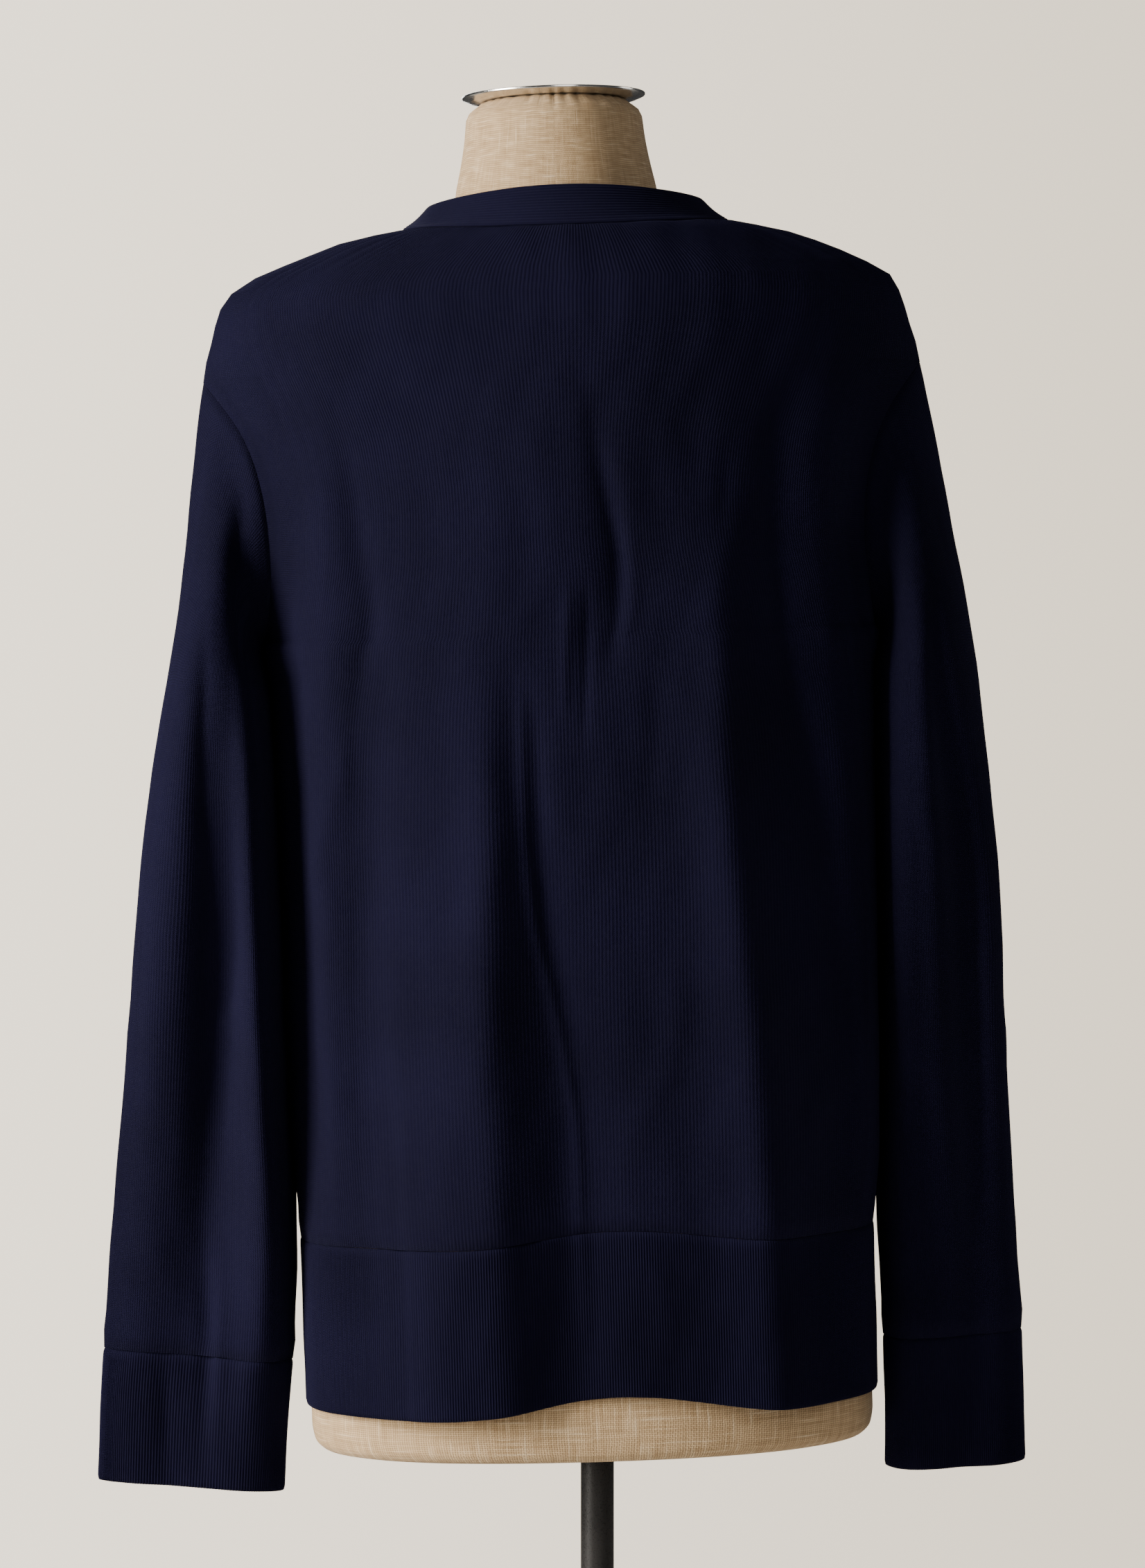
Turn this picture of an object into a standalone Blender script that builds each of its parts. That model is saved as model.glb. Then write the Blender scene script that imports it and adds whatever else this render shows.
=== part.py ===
"""A fine-knit cardigan on a limbless dress form with a pole and a round base.

Metres, +Z up. The origin is on the floor, under the middle of the base. The back of the garment
faces +Y and the wearer's left is +X. Form and garment are drawn upright, then lean together.
"""
import math

import bmesh
import bpy
import numpy as np

# ---- driving dimensions ----
LEAN = math.radians(1.7)      # form and garment tip towards +X
FORM_FOOT_X = 0.0025          # the form's middle, beside the pole's
FORM_FOOT_Z = 0.704           # underside of the torso

JERSEY = 0.0016               # wall of the plain knit
RIB = 0.0022                  # wall of the ribs
HEM_RADIUS = 0.11             # of the hem's oval where its pieces meet
SEAM_GAP = 0.0003             # between two sewn pieces
LAYER_STEP = 0.00125          # each closed front band, out of or into the panels' surface

SEAM_Y = -0.004               # plane of the shoulder and side seams
HEM_Z = 0.7335
HEM_RIB_TOP_Z = 0.833
RING_TOP_Z = 1.347            # armhole, an oval seen from the side
RING_BOTTOM_Z = 1.190
RING_HALF_DEPTH = 0.048
NECK_SIDE_Z = 1.434           # neckline at the shoulder and at the middle of the back
NECK_BACK_Z = 1.4287
BAND_WIDTH = 0.0294
BAND_RISE_BACK = 0.0249       # height of the leaning band, behind and beside the neck
BAND_RISE_SIDE = 0.0135
BAND_IN_SIDE = 0.55           # how far it turns in beside the neck, for its width
CUFF_TOP_Z = 0.764
CUFF_HEM_Z = 0.6845

BUTTON_COUNT = 7
BUTTON_RADIUS = 0.006
BUTTON_THICK = 0.0026
LOW_BUTTON_Z = 0.752
HIGH_BUTTON_Z = 1.202
BUTTON_PROFILE = ((0.86, 0.0), (1.0, 0.25), (1.0, 0.8), (0.86, 1.0))    # share of radius, of thickness

NECK_TOP_Z = 1.5088
CAP_RADIUS = 0.055
CAP_THICK = 0.0040
CAP_EDGE = 0.0005             # its small bevel
CAP_SEAT_RADIUS = 0.047       # from here its underside rises to the thin rim
CAP_DISH = 0.0022
CAP_Y = 0.002
POLE_RADIUS = 0.010
BASE_RADIUS = 0.190
BASE_THICK = 0.008
BASE_EDGE = 0.003

# ---- grid sizes ----
PANEL_COLUMNS = 26            # across the back; each front has half
LOW_ROWS = 10                 # between the hem rib and the armhole
RING_STEPS = 12               # rows beside the armhole, half the columns of a sleeve
SHOULDER_ROWS = 8
RIB_ROWS = 4
SLEEVE_CAP_ROWS = 7
SLEEVE_ROWS = 12
CUFF_ROWS = 4
BAND_STEPS = 2
BUTTON_SIDES = 16
CAP_SIDES = 40
POLE_SIDES = 24
BASE_SIDES = 64
TORSO_COLUMNS = 36


def columns(names, *rows):
    """A table as a dictionary: one array for each named column."""
    return dict(zip(names.split(), np.array(rows, dtype=float).T))


# Middle of the garment's cloth, one row a height: half its width at the seams and between them,
# and its depth behind SEAM_Y's plane and in front of it
BODY = columns(
    "z half_width mid_width back front boxiness shift",
    (0.700, 0.1710, 0.1710, 0.1150, 0.1160, 2.50, 0.000),
    (0.833, 0.1715, 0.1715, 0.1150, 0.1170, 2.50, 0.000),
    (0.870, 0.1745, 0.1745, 0.1148, 0.1178, 2.47, 0.000),
    (0.920, 0.1762, 0.1762, 0.1144, 0.1188, 2.43, 0.000),
    (0.970, 0.1772, 0.1772, 0.1140, 0.1200, 2.40, 0.000),
    (1.035, 0.1780, 0.1780, 0.1130, 0.1220, 2.35, -0.001),
    (1.100, 0.1790, 0.1790, 0.1130, 0.1260, 2.30, -0.001),
    (1.150, 0.1800, 0.1800, 0.1140, 0.1300, 2.25, -0.001),
    (1.190, 0.1820, 0.1820, 0.1145, 0.1315, 2.20, -0.001),
    (1.220, 0.1855, 0.1855, 0.1145, 0.1290, 2.15, -0.001),
    (1.250, 0.1905, 0.1905, 0.1140, 0.1220, 2.10, 0.000),
    (1.280, 0.1970, 0.1960, 0.1125, 0.1120, 2.05, 0.000),
    (1.310, 0.2045, 0.2020, 0.1100, 0.1000, 2.00, 0.000),
    (1.347, 0.2145, 0.2060, 0.1060, 0.0840, 2.00, 0.000),
    (1.370, 0.2090, 0.2065, 0.1025, 0.0740, 2.00, 0.000),
    (1.388, 0.2040, 0.2040, 0.0990, 0.0665, 2.00, 0.000),
    (1.398, 0.1985, 0.1985, 0.0965, 0.0625, 2.00, -0.001),
    (1.404, 0.1900, 0.1900, 0.0948, 0.0600, 2.00, -0.001),
    (1.412, 0.1730, 0.1730, 0.0925, 0.0570, 2.00, -0.002),
    (1.420, 0.1530, 0.1530, 0.0896, 0.0545, 2.00, -0.003),
    (1.427, 0.1320, 0.1320, 0.0868, 0.0525, 2.00, -0.004),
    (1.434, 0.0980, 0.0980, 0.0825, 0.0500, 2.00, -0.005),
    (1.4475, 0.0815, 0.0815, 0.0735, 0.0455, 2.00, -0.005),
    (1.4540, 0.0765, 0.0765, 0.0694, 0.0440, 2.00, -0.005),
    (1.4640, 0.0720, 0.0720, 0.0655, 0.0430, 2.00, -0.005),
)

# Distance of the V's edge from the middle of the front
V_EDGE = columns(
    "z offset",
    (1.000, 0.0150),
    (1.215, 0.0150),
    (1.250, 0.0290),
    (1.300, 0.0500),
    (1.360, 0.0745),
    (1.400, 0.0885),
    (1.420, 0.0935),
    (1.434, 0.0965),
)

# Main folds of the body: +1 for the back and -1 for the front, then the fold's way up the cloth,
# with its half width and how far it stands out (or in, if negative)
FOLDS = (
    (1, columns(                  # the flute on the left half
        "z x half_width height",
        (0.700, 0.0900, 0.033, 0.0120),
        (0.870, 0.0782, 0.031, 0.0105),
        (0.980, 0.0660, 0.030, 0.0085),
        (1.100, 0.0500, 0.028, 0.0050),
        (1.200, 0.0500, 0.026, 0.0025),
        (1.290, 0.0560, 0.024, 0.0000),
    )),
    (1, columns(                  # its crest, steep towards the middle
        "z x half_width height",
        (0.700, 0.0500, 0.022, 0.0075),
        (0.870, 0.0500, 0.021, 0.0080),
        (0.960, 0.0530, 0.019, 0.0070),
        (1.060, 0.0510, 0.015, 0.0050),
        (1.160, 0.0480, 0.012, 0.0000),
    )),
    (1, columns(                  # the shallow trough on its outer side
        "z x half_width height",
        (0.760, 0.1260, 0.018, 0.0000),
        (0.860, 0.1260, 0.018, -0.0050),
        (1.000, 0.1240, 0.017, -0.0065),
        (1.100, 0.1180, 0.016, -0.0050),
        (1.200, 0.1120, 0.014, -0.0020),
        (1.260, 0.1100, 0.014, 0.0000),
    )),
    (1, columns(                  # the flute on the right half
        "z x half_width height",
        (0.700, -0.1080, 0.030, 0.0105),
        (0.885, -0.1033, 0.030, 0.0095),
        (1.035, -0.0930, 0.028, 0.0080),
        (1.125, -0.0860, 0.026, 0.0065),
        (1.200, -0.0866, 0.024, 0.0045),
        (1.300, -0.1000, 0.022, 0.0015),
        (1.360, -0.1050, 0.020, 0.0000),
    )),
    (1, columns(                  # its crest, steep towards the side
        "z x half_width height",
        (0.700, -0.1140, 0.018, 0.0060),
        (0.885, -0.1080, 0.018, 0.0060),
        (1.035, -0.0950, 0.016, 0.0055),
        (1.125, -0.0890, 0.014, 0.0045),
        (1.200, -0.0890, 0.012, 0.0025),
        (1.290, -0.0960, 0.012, 0.0000),
    )),
    (1, columns(                  # the trough between them, up the small of the back
        "z x half_width height",
        (0.700, 0.0150, 0.024, -0.0050),
        (0.862, 0.0050, 0.022, -0.0050),
        (0.963, 0.0132, 0.018, -0.0045),
        (1.065, 0.0263, 0.015, -0.0040),
        (1.157, 0.0356, 0.013, -0.0025),
        (1.200, 0.0370, 0.012, 0.0000),
    )),
    (1, columns(                  # the crease down the middle of the shoulders
        "z x half_width height",
        (1.150, -0.0150, 0.012, 0.0000),
        (1.180, -0.0205, 0.013, -0.0020),
        (1.225, -0.0290, 0.014, -0.0035),
        (1.262, -0.0245, 0.013, -0.0025),
        (1.340, -0.0150, 0.012, 0.0000),
    )),
    (1, columns(                  # the ridge beside the left armhole
        "z x half_width height",
        (0.800, 0.1540, 0.013, 0.0000),
        (0.900, 0.1520, 0.014, 0.0030),
        (1.050, 0.1500, 0.014, 0.0040),
        (1.150, 0.1460, 0.015, 0.0045),
        (1.200, 0.1440, 0.015, 0.0055),
        (1.260, 0.1400, 0.014, 0.0045),
        (1.330, 0.1400, 0.013, 0.0000),
    )),
    (1, columns(                  # the ridge beside the right armhole
        "z x half_width height",
        (0.760, -0.1670, 0.011, 0.0000),
        (0.850, -0.1670, 0.012, 0.0050),
        (0.960, -0.1660, 0.012, 0.0060),
        (1.080, -0.1600, 0.014, 0.0060),
        (1.150, -0.1530, 0.018, 0.0060),
        (1.200, -0.1520, 0.018, 0.0075),
        (1.260, -0.1510, 0.017, 0.0065),
        (1.320, -0.1560, 0.015, 0.0035),
        (1.370, -0.1650, 0.014, 0.0000),
    )),
    (-1, columns(                 # the fronts' flutes and the trough beside the buttons
        "z x half_width height",
        (0.700, 0.0900, 0.026, 0.0090),
        (0.900, 0.0840, 0.024, 0.0070),
        (1.120, 0.0780, 0.020, 0.0000),
    )),
    (-1, columns(
        "z x half_width height",
        (0.700, -0.0880, 0.026, 0.0095),
        (0.880, -0.0850, 0.024, 0.0070),
        (1.080, -0.0800, 0.020, 0.0000),
    )),
    (-1, columns(
        "z x half_width height",
        (0.700, 0.0440, 0.016, -0.0035),
        (0.880, 0.0460, 0.016, -0.0025),
        (1.050, 0.0480, 0.014, 0.0000),
    )),
)
SIDE_POWER = 8                # how near the seams the width there counts
HEM_LIFT = 0.0115             # the hem is higher between the two flutes behind
HEM_LIFT_X = -0.020
HEM_LIFT_HALF_WIDTH = 0.062
HEM_LIFT_TOP_Z = 1.05

# One row a height of a sleeve: its outer and inner sides from the form's middle, its half depth,
# the depth of its lengthwise hollow behind, how far a section rises for each metre outwards, and
# how far its inner side is tucked before the body's side, and a crest behind, along its length
SLEEVES = {
    "left": columns(
        "z outer inner middle_y half_depth boxiness hollow hollow_at rise tuck crest crest_at",
        (1.165, 0.2395, 0.1808, -0.002, 0.074, 2.0, 0.0060, 0.10, 0.04, 0.030, 0.014, -0.78),
        (1.100, 0.2510, 0.1794, -0.002, 0.068, 2.0, 0.0120, 0.05, 0.05, 0.034, 0.022, -0.78),
        (1.037, 0.2600, 0.1787, 0.000, 0.058, 2.0, 0.0140, 0.00, 0.06, 0.034, 0.028, -0.78),
        (0.980, 0.2675, 0.1784, 0.001, 0.046, 2.1, 0.0130, -0.05, 0.07, 0.032, 0.034, -0.78),
        (0.920, 0.2745, 0.1780, 0.002, 0.034, 2.2, 0.0110, -0.10, 0.08, 0.030, 0.036, -0.78),
        (0.870, 0.2810, 0.1766, 0.002, 0.026, 2.2, 0.0080, -0.10, 0.09, 0.028, 0.034, -0.78),
        (0.821, 0.2868, 0.1767, 0.002, 0.020, 2.3, 0.0060, 0.00, 0.09, 0.010, 0.026, -0.76),
        (0.780, 0.2905, 0.1790, 0.002, 0.017, 2.3, 0.0050, 0.10, 0.09, 0.000, 0.016, -0.72),
        (0.730, 0.2950, 0.1845, 0.002, 0.0150, 2.4, 0.0040, 0.15, 0.09, 0.000, 0.006, -0.70),
        (0.680, 0.2978, 0.1890, 0.002, 0.0145, 2.4, 0.0035, 0.20, 0.09, 0.000, 0.003, -0.70),
    ),
    "right": columns(
        "z outer inner middle_y half_depth boxiness hollow hollow_at rise tuck crest crest_at",
        (1.165, 0.2385, 0.1828, -0.002, 0.075, 2.0, 0.0060, 0.25, 0.02, 0.030, 0.006, -0.80),
        (1.100, 0.2425, 0.1813, -0.001, 0.071, 2.0, 0.0120, 0.35, 0.02, 0.034, 0.011, -0.80),
        (1.022, 0.2490, 0.1803, 0.000, 0.064, 2.0, 0.0140, 0.42, 0.02, 0.034, 0.014, -0.80),
        (0.950, 0.2525, 0.1790, 0.000, 0.054, 2.0, 0.0140, 0.42, 0.02, 0.032, 0.014, -0.80),
        (0.880, 0.2555, 0.1772, 0.000, 0.046, 2.0, 0.0120, 0.40, 0.02, 0.028, 0.014, -0.80),
        (0.821, 0.2575, 0.1768, 0.000, 0.040, 2.0, 0.0090, 0.35, 0.02, 0.010, 0.012, -0.80),
        (0.770, 0.2590, 0.1775, 0.000, 0.035, 2.0, 0.0070, 0.25, 0.02, 0.000, 0.008, -0.80),
        (0.730, 0.2590, 0.1778, 0.000, 0.031, 2.0, 0.0060, 0.15, 0.02, 0.000, 0.005, -0.80),
        (0.680, 0.2590, 0.1768, 0.000, 0.030, 2.0, 0.0060, 0.10, 0.02, 0.000, 0.004, -0.80),
    ),
}

# Half widths of a sleeve's lengthwise hollow and crest, in halves of the sleeve's width
HOLLOW_WIDTH = 0.34
CREST_WIDTH = 0.35

# How the sleeve leaves the armhole, at the shoulder and under the arm
SHOULDER_LEAVE = np.array([0.18, 0.0, -0.98])
UNDERARM_LEAVE = (0.80, 0.55, -0.42)
LEAVE_PULL = 0.9

# The torso and neck, about their own middle
TORSO = columns(
    "z half_width back front boxiness",
    (0.7040, 0.1540, 0.0870, 0.0900, 2.3),
    (0.7062, 0.1625, 0.0955, 0.0985, 2.3),
    (0.7120, 0.1675, 0.1005, 0.1035, 2.3),
    (0.7220, 0.1690, 0.1020, 0.1050, 2.3),
    (0.7900, 0.1690, 0.1025, 0.1065, 2.3),
    (0.8600, 0.1650, 0.1010, 0.1060, 2.3),
    (0.9200, 0.1560, 0.0960, 0.1010, 2.3),
    (0.9900, 0.1400, 0.0860, 0.0930, 2.2),
    (1.0500, 0.1290, 0.0800, 0.0880, 2.2),
    (1.1000, 0.1330, 0.0850, 0.0960, 2.2),
    (1.1500, 0.1430, 0.0950, 0.1130, 2.2),
    (1.1950, 0.1520, 0.1030, 0.1240, 2.1),
    (1.2400, 0.1600, 0.1040, 0.1180, 2.1),
    (1.2800, 0.1700, 0.1035, 0.1050, 2.0),
    (1.3200, 0.1820, 0.1010, 0.0920, 2.0),
    (1.3500, 0.1900, 0.0975, 0.0800, 2.0),
    (1.3800, 0.1930, 0.0930, 0.0660, 2.0),
    (1.3920, 0.1915, 0.0910, 0.0610, 2.0),
    (1.4000, 0.1830, 0.0890, 0.0580, 2.0),
    (1.4100, 0.1655, 0.0860, 0.0540, 2.0),
    (1.4180, 0.1465, 0.0832, 0.0515, 2.0),
    (1.4260, 0.1220, 0.0795, 0.0495, 2.0),
    (1.4320, 0.0930, 0.0735, 0.0485, 2.0),
    (1.4390, 0.0740, 0.0675, 0.0500, 2.0),
    (1.4480, 0.0630, 0.0620, 0.0520, 2.0),
    (1.4620, 0.0590, 0.0590, 0.0520, 2.0),
    (1.4850, 0.0545, 0.0570, 0.0510, 2.0),
    (1.5040, 0.0523, 0.0555, 0.0500, 2.0),
    (1.5078, 0.0515, 0.0547, 0.0492, 2.0),
    (1.5088, 0.0500, 0.0532, 0.0477, 2.0),
)

NAVY = (0.010, 0.011, 0.030)
LINEN = (0.42, 0.32, 0.20)
STEEL = (0.55, 0.56, 0.57)
BLACK = (0.012, 0.011, 0.011)


# ---- curves and surfaces ----
def read(rows, name, z):
    """A column of a table at the heights z, by cubics that never overshoot the rows."""
    order = np.argsort(rows["z"])
    zs = rows["z"][order]
    values = rows[name][order]
    steps = np.diff(zs)
    slopes = np.diff(values) / steps
    tangents = np.zeros_like(values)
    same = slopes[1:] * slopes[:-1] > 0
    with np.errstate(divide="ignore", invalid="ignore"):
        mean = 2 * slopes[1:] * slopes[:-1] / (slopes[1:] + slopes[:-1])
    tangents[1:-1] = np.where(same, mean, 0.0)
    tangents[0], tangents[-1] = slopes[0], slopes[-1]
    z = np.clip(z, zs[0], zs[-1])
    i = np.clip(np.searchsorted(zs, z) - 1, 0, len(zs) - 2)
    t = (z - zs[i]) / steps[i]
    return ((1 + 2 * t) * (1 - t) ** 2 * values[i] + t * (1 - t) ** 2 * steps[i] * tangents[i]
            + t ** 2 * (3 - 2 * t) * values[i + 1] + t ** 2 * (t - 1) * steps[i] * tangents[i + 1])


def smooth_step(low, high, value):
    t = np.clip((value - low) / (high - low), 0.0, 1.0)
    return t * t * (3 - 2 * t)


def oval(angle, boxiness):
    """Sine and cosine of an oval between an ellipse (2) and a box (more than 2)."""
    s, c = np.sin(angle), np.cos(angle)
    k = (np.abs(s) ** boxiness + np.abs(c) ** boxiness) ** (-1 / boxiness)
    return s * k, c * k


def fold_height(x, z, behind):
    """How far the folds stand out at x and z; behind is 1 on the back and 0 on the front."""
    total = np.zeros(np.broadcast(x, z).shape)
    for side, fold in FOLDS:
        here = behind if side > 0 else 1 - behind
        away = (x - read(fold, "x", z)) / read(fold, "half_width", z)
        total = total + here * read(fold, "height", z) * np.exp(-away ** 2)
    return total


def body(z, angle):
    """The garment's middle surface. Angle 0 is the middle of the back, +90 degrees the left side
    seam and 180 degrees the middle of the front. The lowest rows follow the uneven hem."""
    z, angle = np.broadcast_arrays(np.asarray(z, float), np.asarray(angle, float))
    s, c = oval(angle, read(BODY, "boxiness", z))
    depth = np.where(c > 0, read(BODY, "back", z), read(BODY, "front", z))
    mid = read(BODY, "mid_width", z)
    half_width = mid + (read(BODY, "half_width", z) - mid) * s ** SIDE_POWER
    x = read(BODY, "shift", z) + half_width * s
    behind = smooth_step(-0.25, 0.25, c)
    fold = fold_height(x, z, behind) * smooth_step(0.0, 0.35, np.abs(c))
    y = SEAM_Y + depth * c + fold * np.sign(c)
    lift = HEM_LIFT * behind * np.exp(-((x - HEM_LIFT_X) / HEM_LIFT_HALF_WIDTH) ** 2)
    lift = lift * (1 - smooth_step(HEM_Z, HEM_LIFT_TOP_Z, z))
    return np.stack([x, y, z + lift], axis=-1)


def unit(v):
    return v / np.maximum(np.linalg.norm(v, axis=-1, keepdims=True), 1e-12)


def body_normal(z, angle):
    """Outward normal of the body's surface, from points just beside."""
    z, angle = np.broadcast_arrays(np.asarray(z, float), np.asarray(angle, float))
    up = body(z + 0.0004, angle) - body(z - 0.0004, angle)
    round_ = body(z, angle + 0.003) - body(z, angle - 0.003)
    return unit(np.cross(up, round_))


def ring_angle(z, y, side):
    """The body's angle where its surface passes through (z, y) on one side."""
    depth = np.where(y > SEAM_Y, read(BODY, "back", z), read(BODY, "front", z))
    n = read(BODY, "boxiness", z)
    c = (y - SEAM_Y) / depth
    s = (1 - np.abs(c) ** n) ** (1 / n)
    return side * np.arctan2(s, c)


RING_MIDDLE_Z = (RING_TOP_Z + RING_BOTTOM_Z) / 2
RING_HALF_HEIGHT = (RING_TOP_Z - RING_BOTTOM_Z) / 2


def ring_z_angle(turn, side):
    """Height and body angle of the armhole at a turn: 0 at the top, 90 degrees behind."""
    z = RING_MIDDLE_Z + RING_HALF_HEIGHT * np.cos(turn)
    y = SEAM_Y + RING_HALF_DEPTH * np.sin(turn)
    return z, ring_angle(z, y, side)


def sleeve_section(z, turn, side):
    """A level section of a sleeve, hollowed behind; turn 0 is its outer side, 90 degrees behind."""
    rows = SLEEVES[side]
    z, turn = np.broadcast_arrays(np.asarray(z, float), np.asarray(turn, float))
    outer, inner = read(rows, "outer", z), read(rows, "inner", z)
    half, middle = (outer - inner) / 2, (outer + inner) / 2
    back, out = oval(turn, read(rows, "boxiness", z))
    hollow = np.exp(-((out - read(rows, "hollow_at", z)) / HOLLOW_WIDTH) ** 2)
    hollow = hollow * smooth_step(0.1, 0.8, back)
    x = middle + half * out
    tuck = read(rows, "tuck", z) * ((1 - out) / 2) ** 2 * (1 - smooth_step(0.0, 0.7, back))
    crest = np.exp(-((out - read(rows, "crest_at", z)) / CREST_WIDTH) ** 2) * smooth_step(0.1, 0.6, back)
    y = read(rows, "middle_y", z) + read(rows, "half_depth", z) * back
    y = y - read(rows, "hollow", z) * hollow - tuck + read(rows, "crest", z) * crest
    rise = read(rows, "rise", z) * (x - middle)
    return np.stack([x, y, z + rise], axis=-1)


def sleeve(v, turn, side):
    """A sleeve's middle surface. From v = 0 at the armhole to 1 it bends from the ring to the
    first level section along Hermite curves; from 1 on, v - 1 is the way down the table."""
    sign = 1 if side == "left" else -1
    rows = SLEEVES[side]
    top_z, low_z = rows["z"][0], rows["z"][-1]
    v, turn = np.broadcast_arrays(np.asarray(v, float), np.asarray(turn, float))
    ring = body(*ring_z_angle(turn, sign)) * [sign, 1, 1]
    first = sleeve_section(top_z, turn, side)
    below = sleeve_section(top_z - 0.004, turn, side)
    reach = np.linalg.norm(first - ring, axis=-1, keepdims=True)
    share = ((1 + np.cos(turn)) / 2)[..., None]
    out = np.stack([UNDERARM_LEAVE[0] + 0 * turn, UNDERARM_LEAVE[1] * np.sin(turn),
                    UNDERARM_LEAVE[2] + 0 * turn], axis=-1)
    leave = unit(share * SHOULDER_LEAVE + (1 - share) * out) * reach * LEAVE_PULL
    arrive = unit(below - first) * reach
    t = np.clip(v, 0, 1)[..., None]
    bend = ((1 + 2 * t) * (1 - t) ** 2 * ring + t * (1 - t) ** 2 * leave
            + t ** 2 * (3 - 2 * t) * first + t ** 2 * (t - 1) * arrive)
    down = sleeve_section(top_z + (low_z - top_z) * np.clip(v - 1, 0, 1), turn, side)
    points = np.where(v[..., None] <= 1, bend, down)
    return points * [sign, 1, 1]


def sleeve_normal(v, turn, side):
    sign = 1 if side == "left" else -1
    low = np.maximum(v - 0.004, 0)
    along = sleeve(v + 0.004, turn, side) - sleeve(low, turn, side)
    round_ = sleeve(v, turn + 0.004, side) - sleeve(v, turn - 0.004, side)
    return unit(np.cross(along, round_)) * sign


def sleeve_v(z, side):
    rows = SLEEVES[side]
    return 1 + (rows["z"][0] - z) / (rows["z"][0] - rows["z"][-1])


# ---- solids ----
def lean(points):
    """Tip the upright drawing about the middle of the torso's underside."""
    x, y, z = points[..., 0], points[..., 1], points[..., 2] - FORM_FOOT_Z
    return np.stack([FORM_FOOT_X + x * math.cos(LEAN) + z * math.sin(LEAN), y,
                     FORM_FOOT_Z - x * math.sin(LEAN) + z * math.cos(LEAN)], axis=-1)


def material(name, colour, roughness, metallic=0.0):
    found = bpy.data.materials.get(name)
    if found:
        return found
    made = bpy.data.materials.new(name)
    made.use_nodes = True
    shader = made.node_tree.nodes["Principled BSDF"]
    shader.inputs["Base Color"].default_value = (*colour, 1)
    shader.inputs["Roughness"].default_value = roughness
    shader.inputs["Metallic"].default_value = metallic
    made.diffuse_color = (*colour, 1)
    return made


def add_object(name, points, faces, look):
    mesh = bpy.data.meshes.new(name)
    mesh.from_pydata([tuple(p) for p in points], [], faces)
    shaped = bmesh.new()
    shaped.from_mesh(mesh)
    bmesh.ops.triangulate(shaped, faces=shaped.faces, quad_method="FIXED")
    bmesh.ops.recalc_face_normals(shaped, faces=shaped.faces)
    if shaped.calc_volume(signed=True) < 0:
        bmesh.ops.reverse_faces(shaped, faces=shaped.faces)
    shaped.to_mesh(mesh)
    shaped.free()
    mesh.shade_smooth()
    mesh.set_sharp_from_angle(angle=math.radians(40))
    made = bpy.data.objects.new(name, mesh)
    bpy.context.collection.objects.link(made)
    mesh.materials.append(look)
    return made


def wall(name, middle, half, look, tube=False):
    """A cloth wall: the middle points moved out and in by half, joined along every free edge.
    A tube's last column meets its first."""
    rows, cols = middle.shape[:2]
    points = lean(np.concatenate([(middle + half).reshape(-1, 3), (middle - half).reshape(-1, 3)]))
    inner = rows * cols

    def at(i, j):
        return i * cols + j % cols

    faces = []
    across = cols if tube else cols - 1
    for i in range(rows - 1):
        for j in range(across):
            quad = (at(i, j), at(i, j + 1), at(i + 1, j + 1), at(i + 1, j))
            faces.append(quad)
            faces.append(tuple(inner + k for k in reversed(quad)))
    for i, turned in ((0, True), (rows - 1, False)):
        for j in range(across):
            a, b = at(i, j), at(i, j + 1)
            quad = (a, b, inner + b, inner + a)
            faces.append(quad[::-1] if turned else quad)
    if not tube:
        for j, turned in ((0, False), (cols - 1, True)):
            for i in range(rows - 1):
                a, b = at(i, j), at(i + 1, j)
                quad = (a, b, inner + b, inner + a)
                faces.append(quad[::-1] if turned else quad)
    return add_object(name, points, faces, look)


def loft(name, sections, look, tipped=True):
    """A closed solid through level rings, with a flat fan at each end."""
    rows, cols = sections.shape[:2]
    points = sections.reshape(-1, 3)
    ends = np.stack([sections[0].mean(axis=0), sections[-1].mean(axis=0)])
    points = np.concatenate([points, ends])
    if tipped:
        points = lean(points)
    faces = []
    for j in range(cols):
        k = (j + 1) % cols
        for i in range(rows - 1):
            faces.append((i * cols + j, i * cols + k, (i + 1) * cols + k, (i + 1) * cols + j))
        faces.append((rows * cols, k, j))
        faces.append((rows * cols + 1, (rows - 1) * cols + j, (rows - 1) * cols + k))
    return add_object(name, points, faces, look)


def turned(profile, count, middle=(0.0, 0.0)):
    """Level rings from a list of (radius, z)."""
    angle = np.arange(count) * 2 * math.pi / count
    profile = np.array(profile)
    r, z = profile[:, :1], profile[:, 1:]
    return np.stack([middle[0] + r * np.cos(angle), middle[1] + r * np.sin(angle),
                     z + 0 * angle], axis=-1)


# ---- the seam between a sleeve and the body ----
def seam_frame(turn, side):
    """Points of the armhole seam, the mitred half offset for both walls, and the direction
    across the seam towards the sleeve."""
    sign = 1 if side == "left" else -1
    z, angle = ring_z_angle(turn, sign)
    point = body(z, angle)
    of_body = body_normal(z, angle)
    of_sleeve = sleeve_normal(np.zeros_like(turn), turn, side)
    both = of_body + of_sleeve
    dot = (of_body * of_sleeve).sum(axis=-1, keepdims=True)
    mitre = both / np.maximum(1 + dot, 0.45) * JERSEY / 2
    after = body(*ring_z_angle(turn + 0.01, sign))
    before = body(*ring_z_angle(turn - 0.01, sign))
    across = unit(np.cross(unit(after - before), unit(mitre)))
    away = sleeve(np.full_like(turn, 0.05), turn, side) - point
    across = across * np.sign((across * away).sum(axis=-1, keepdims=True))
    return point, mitre, across


RING_TURNS = np.linspace(math.pi, 0, RING_STEPS + 1)    # from the underarm to the top


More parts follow.
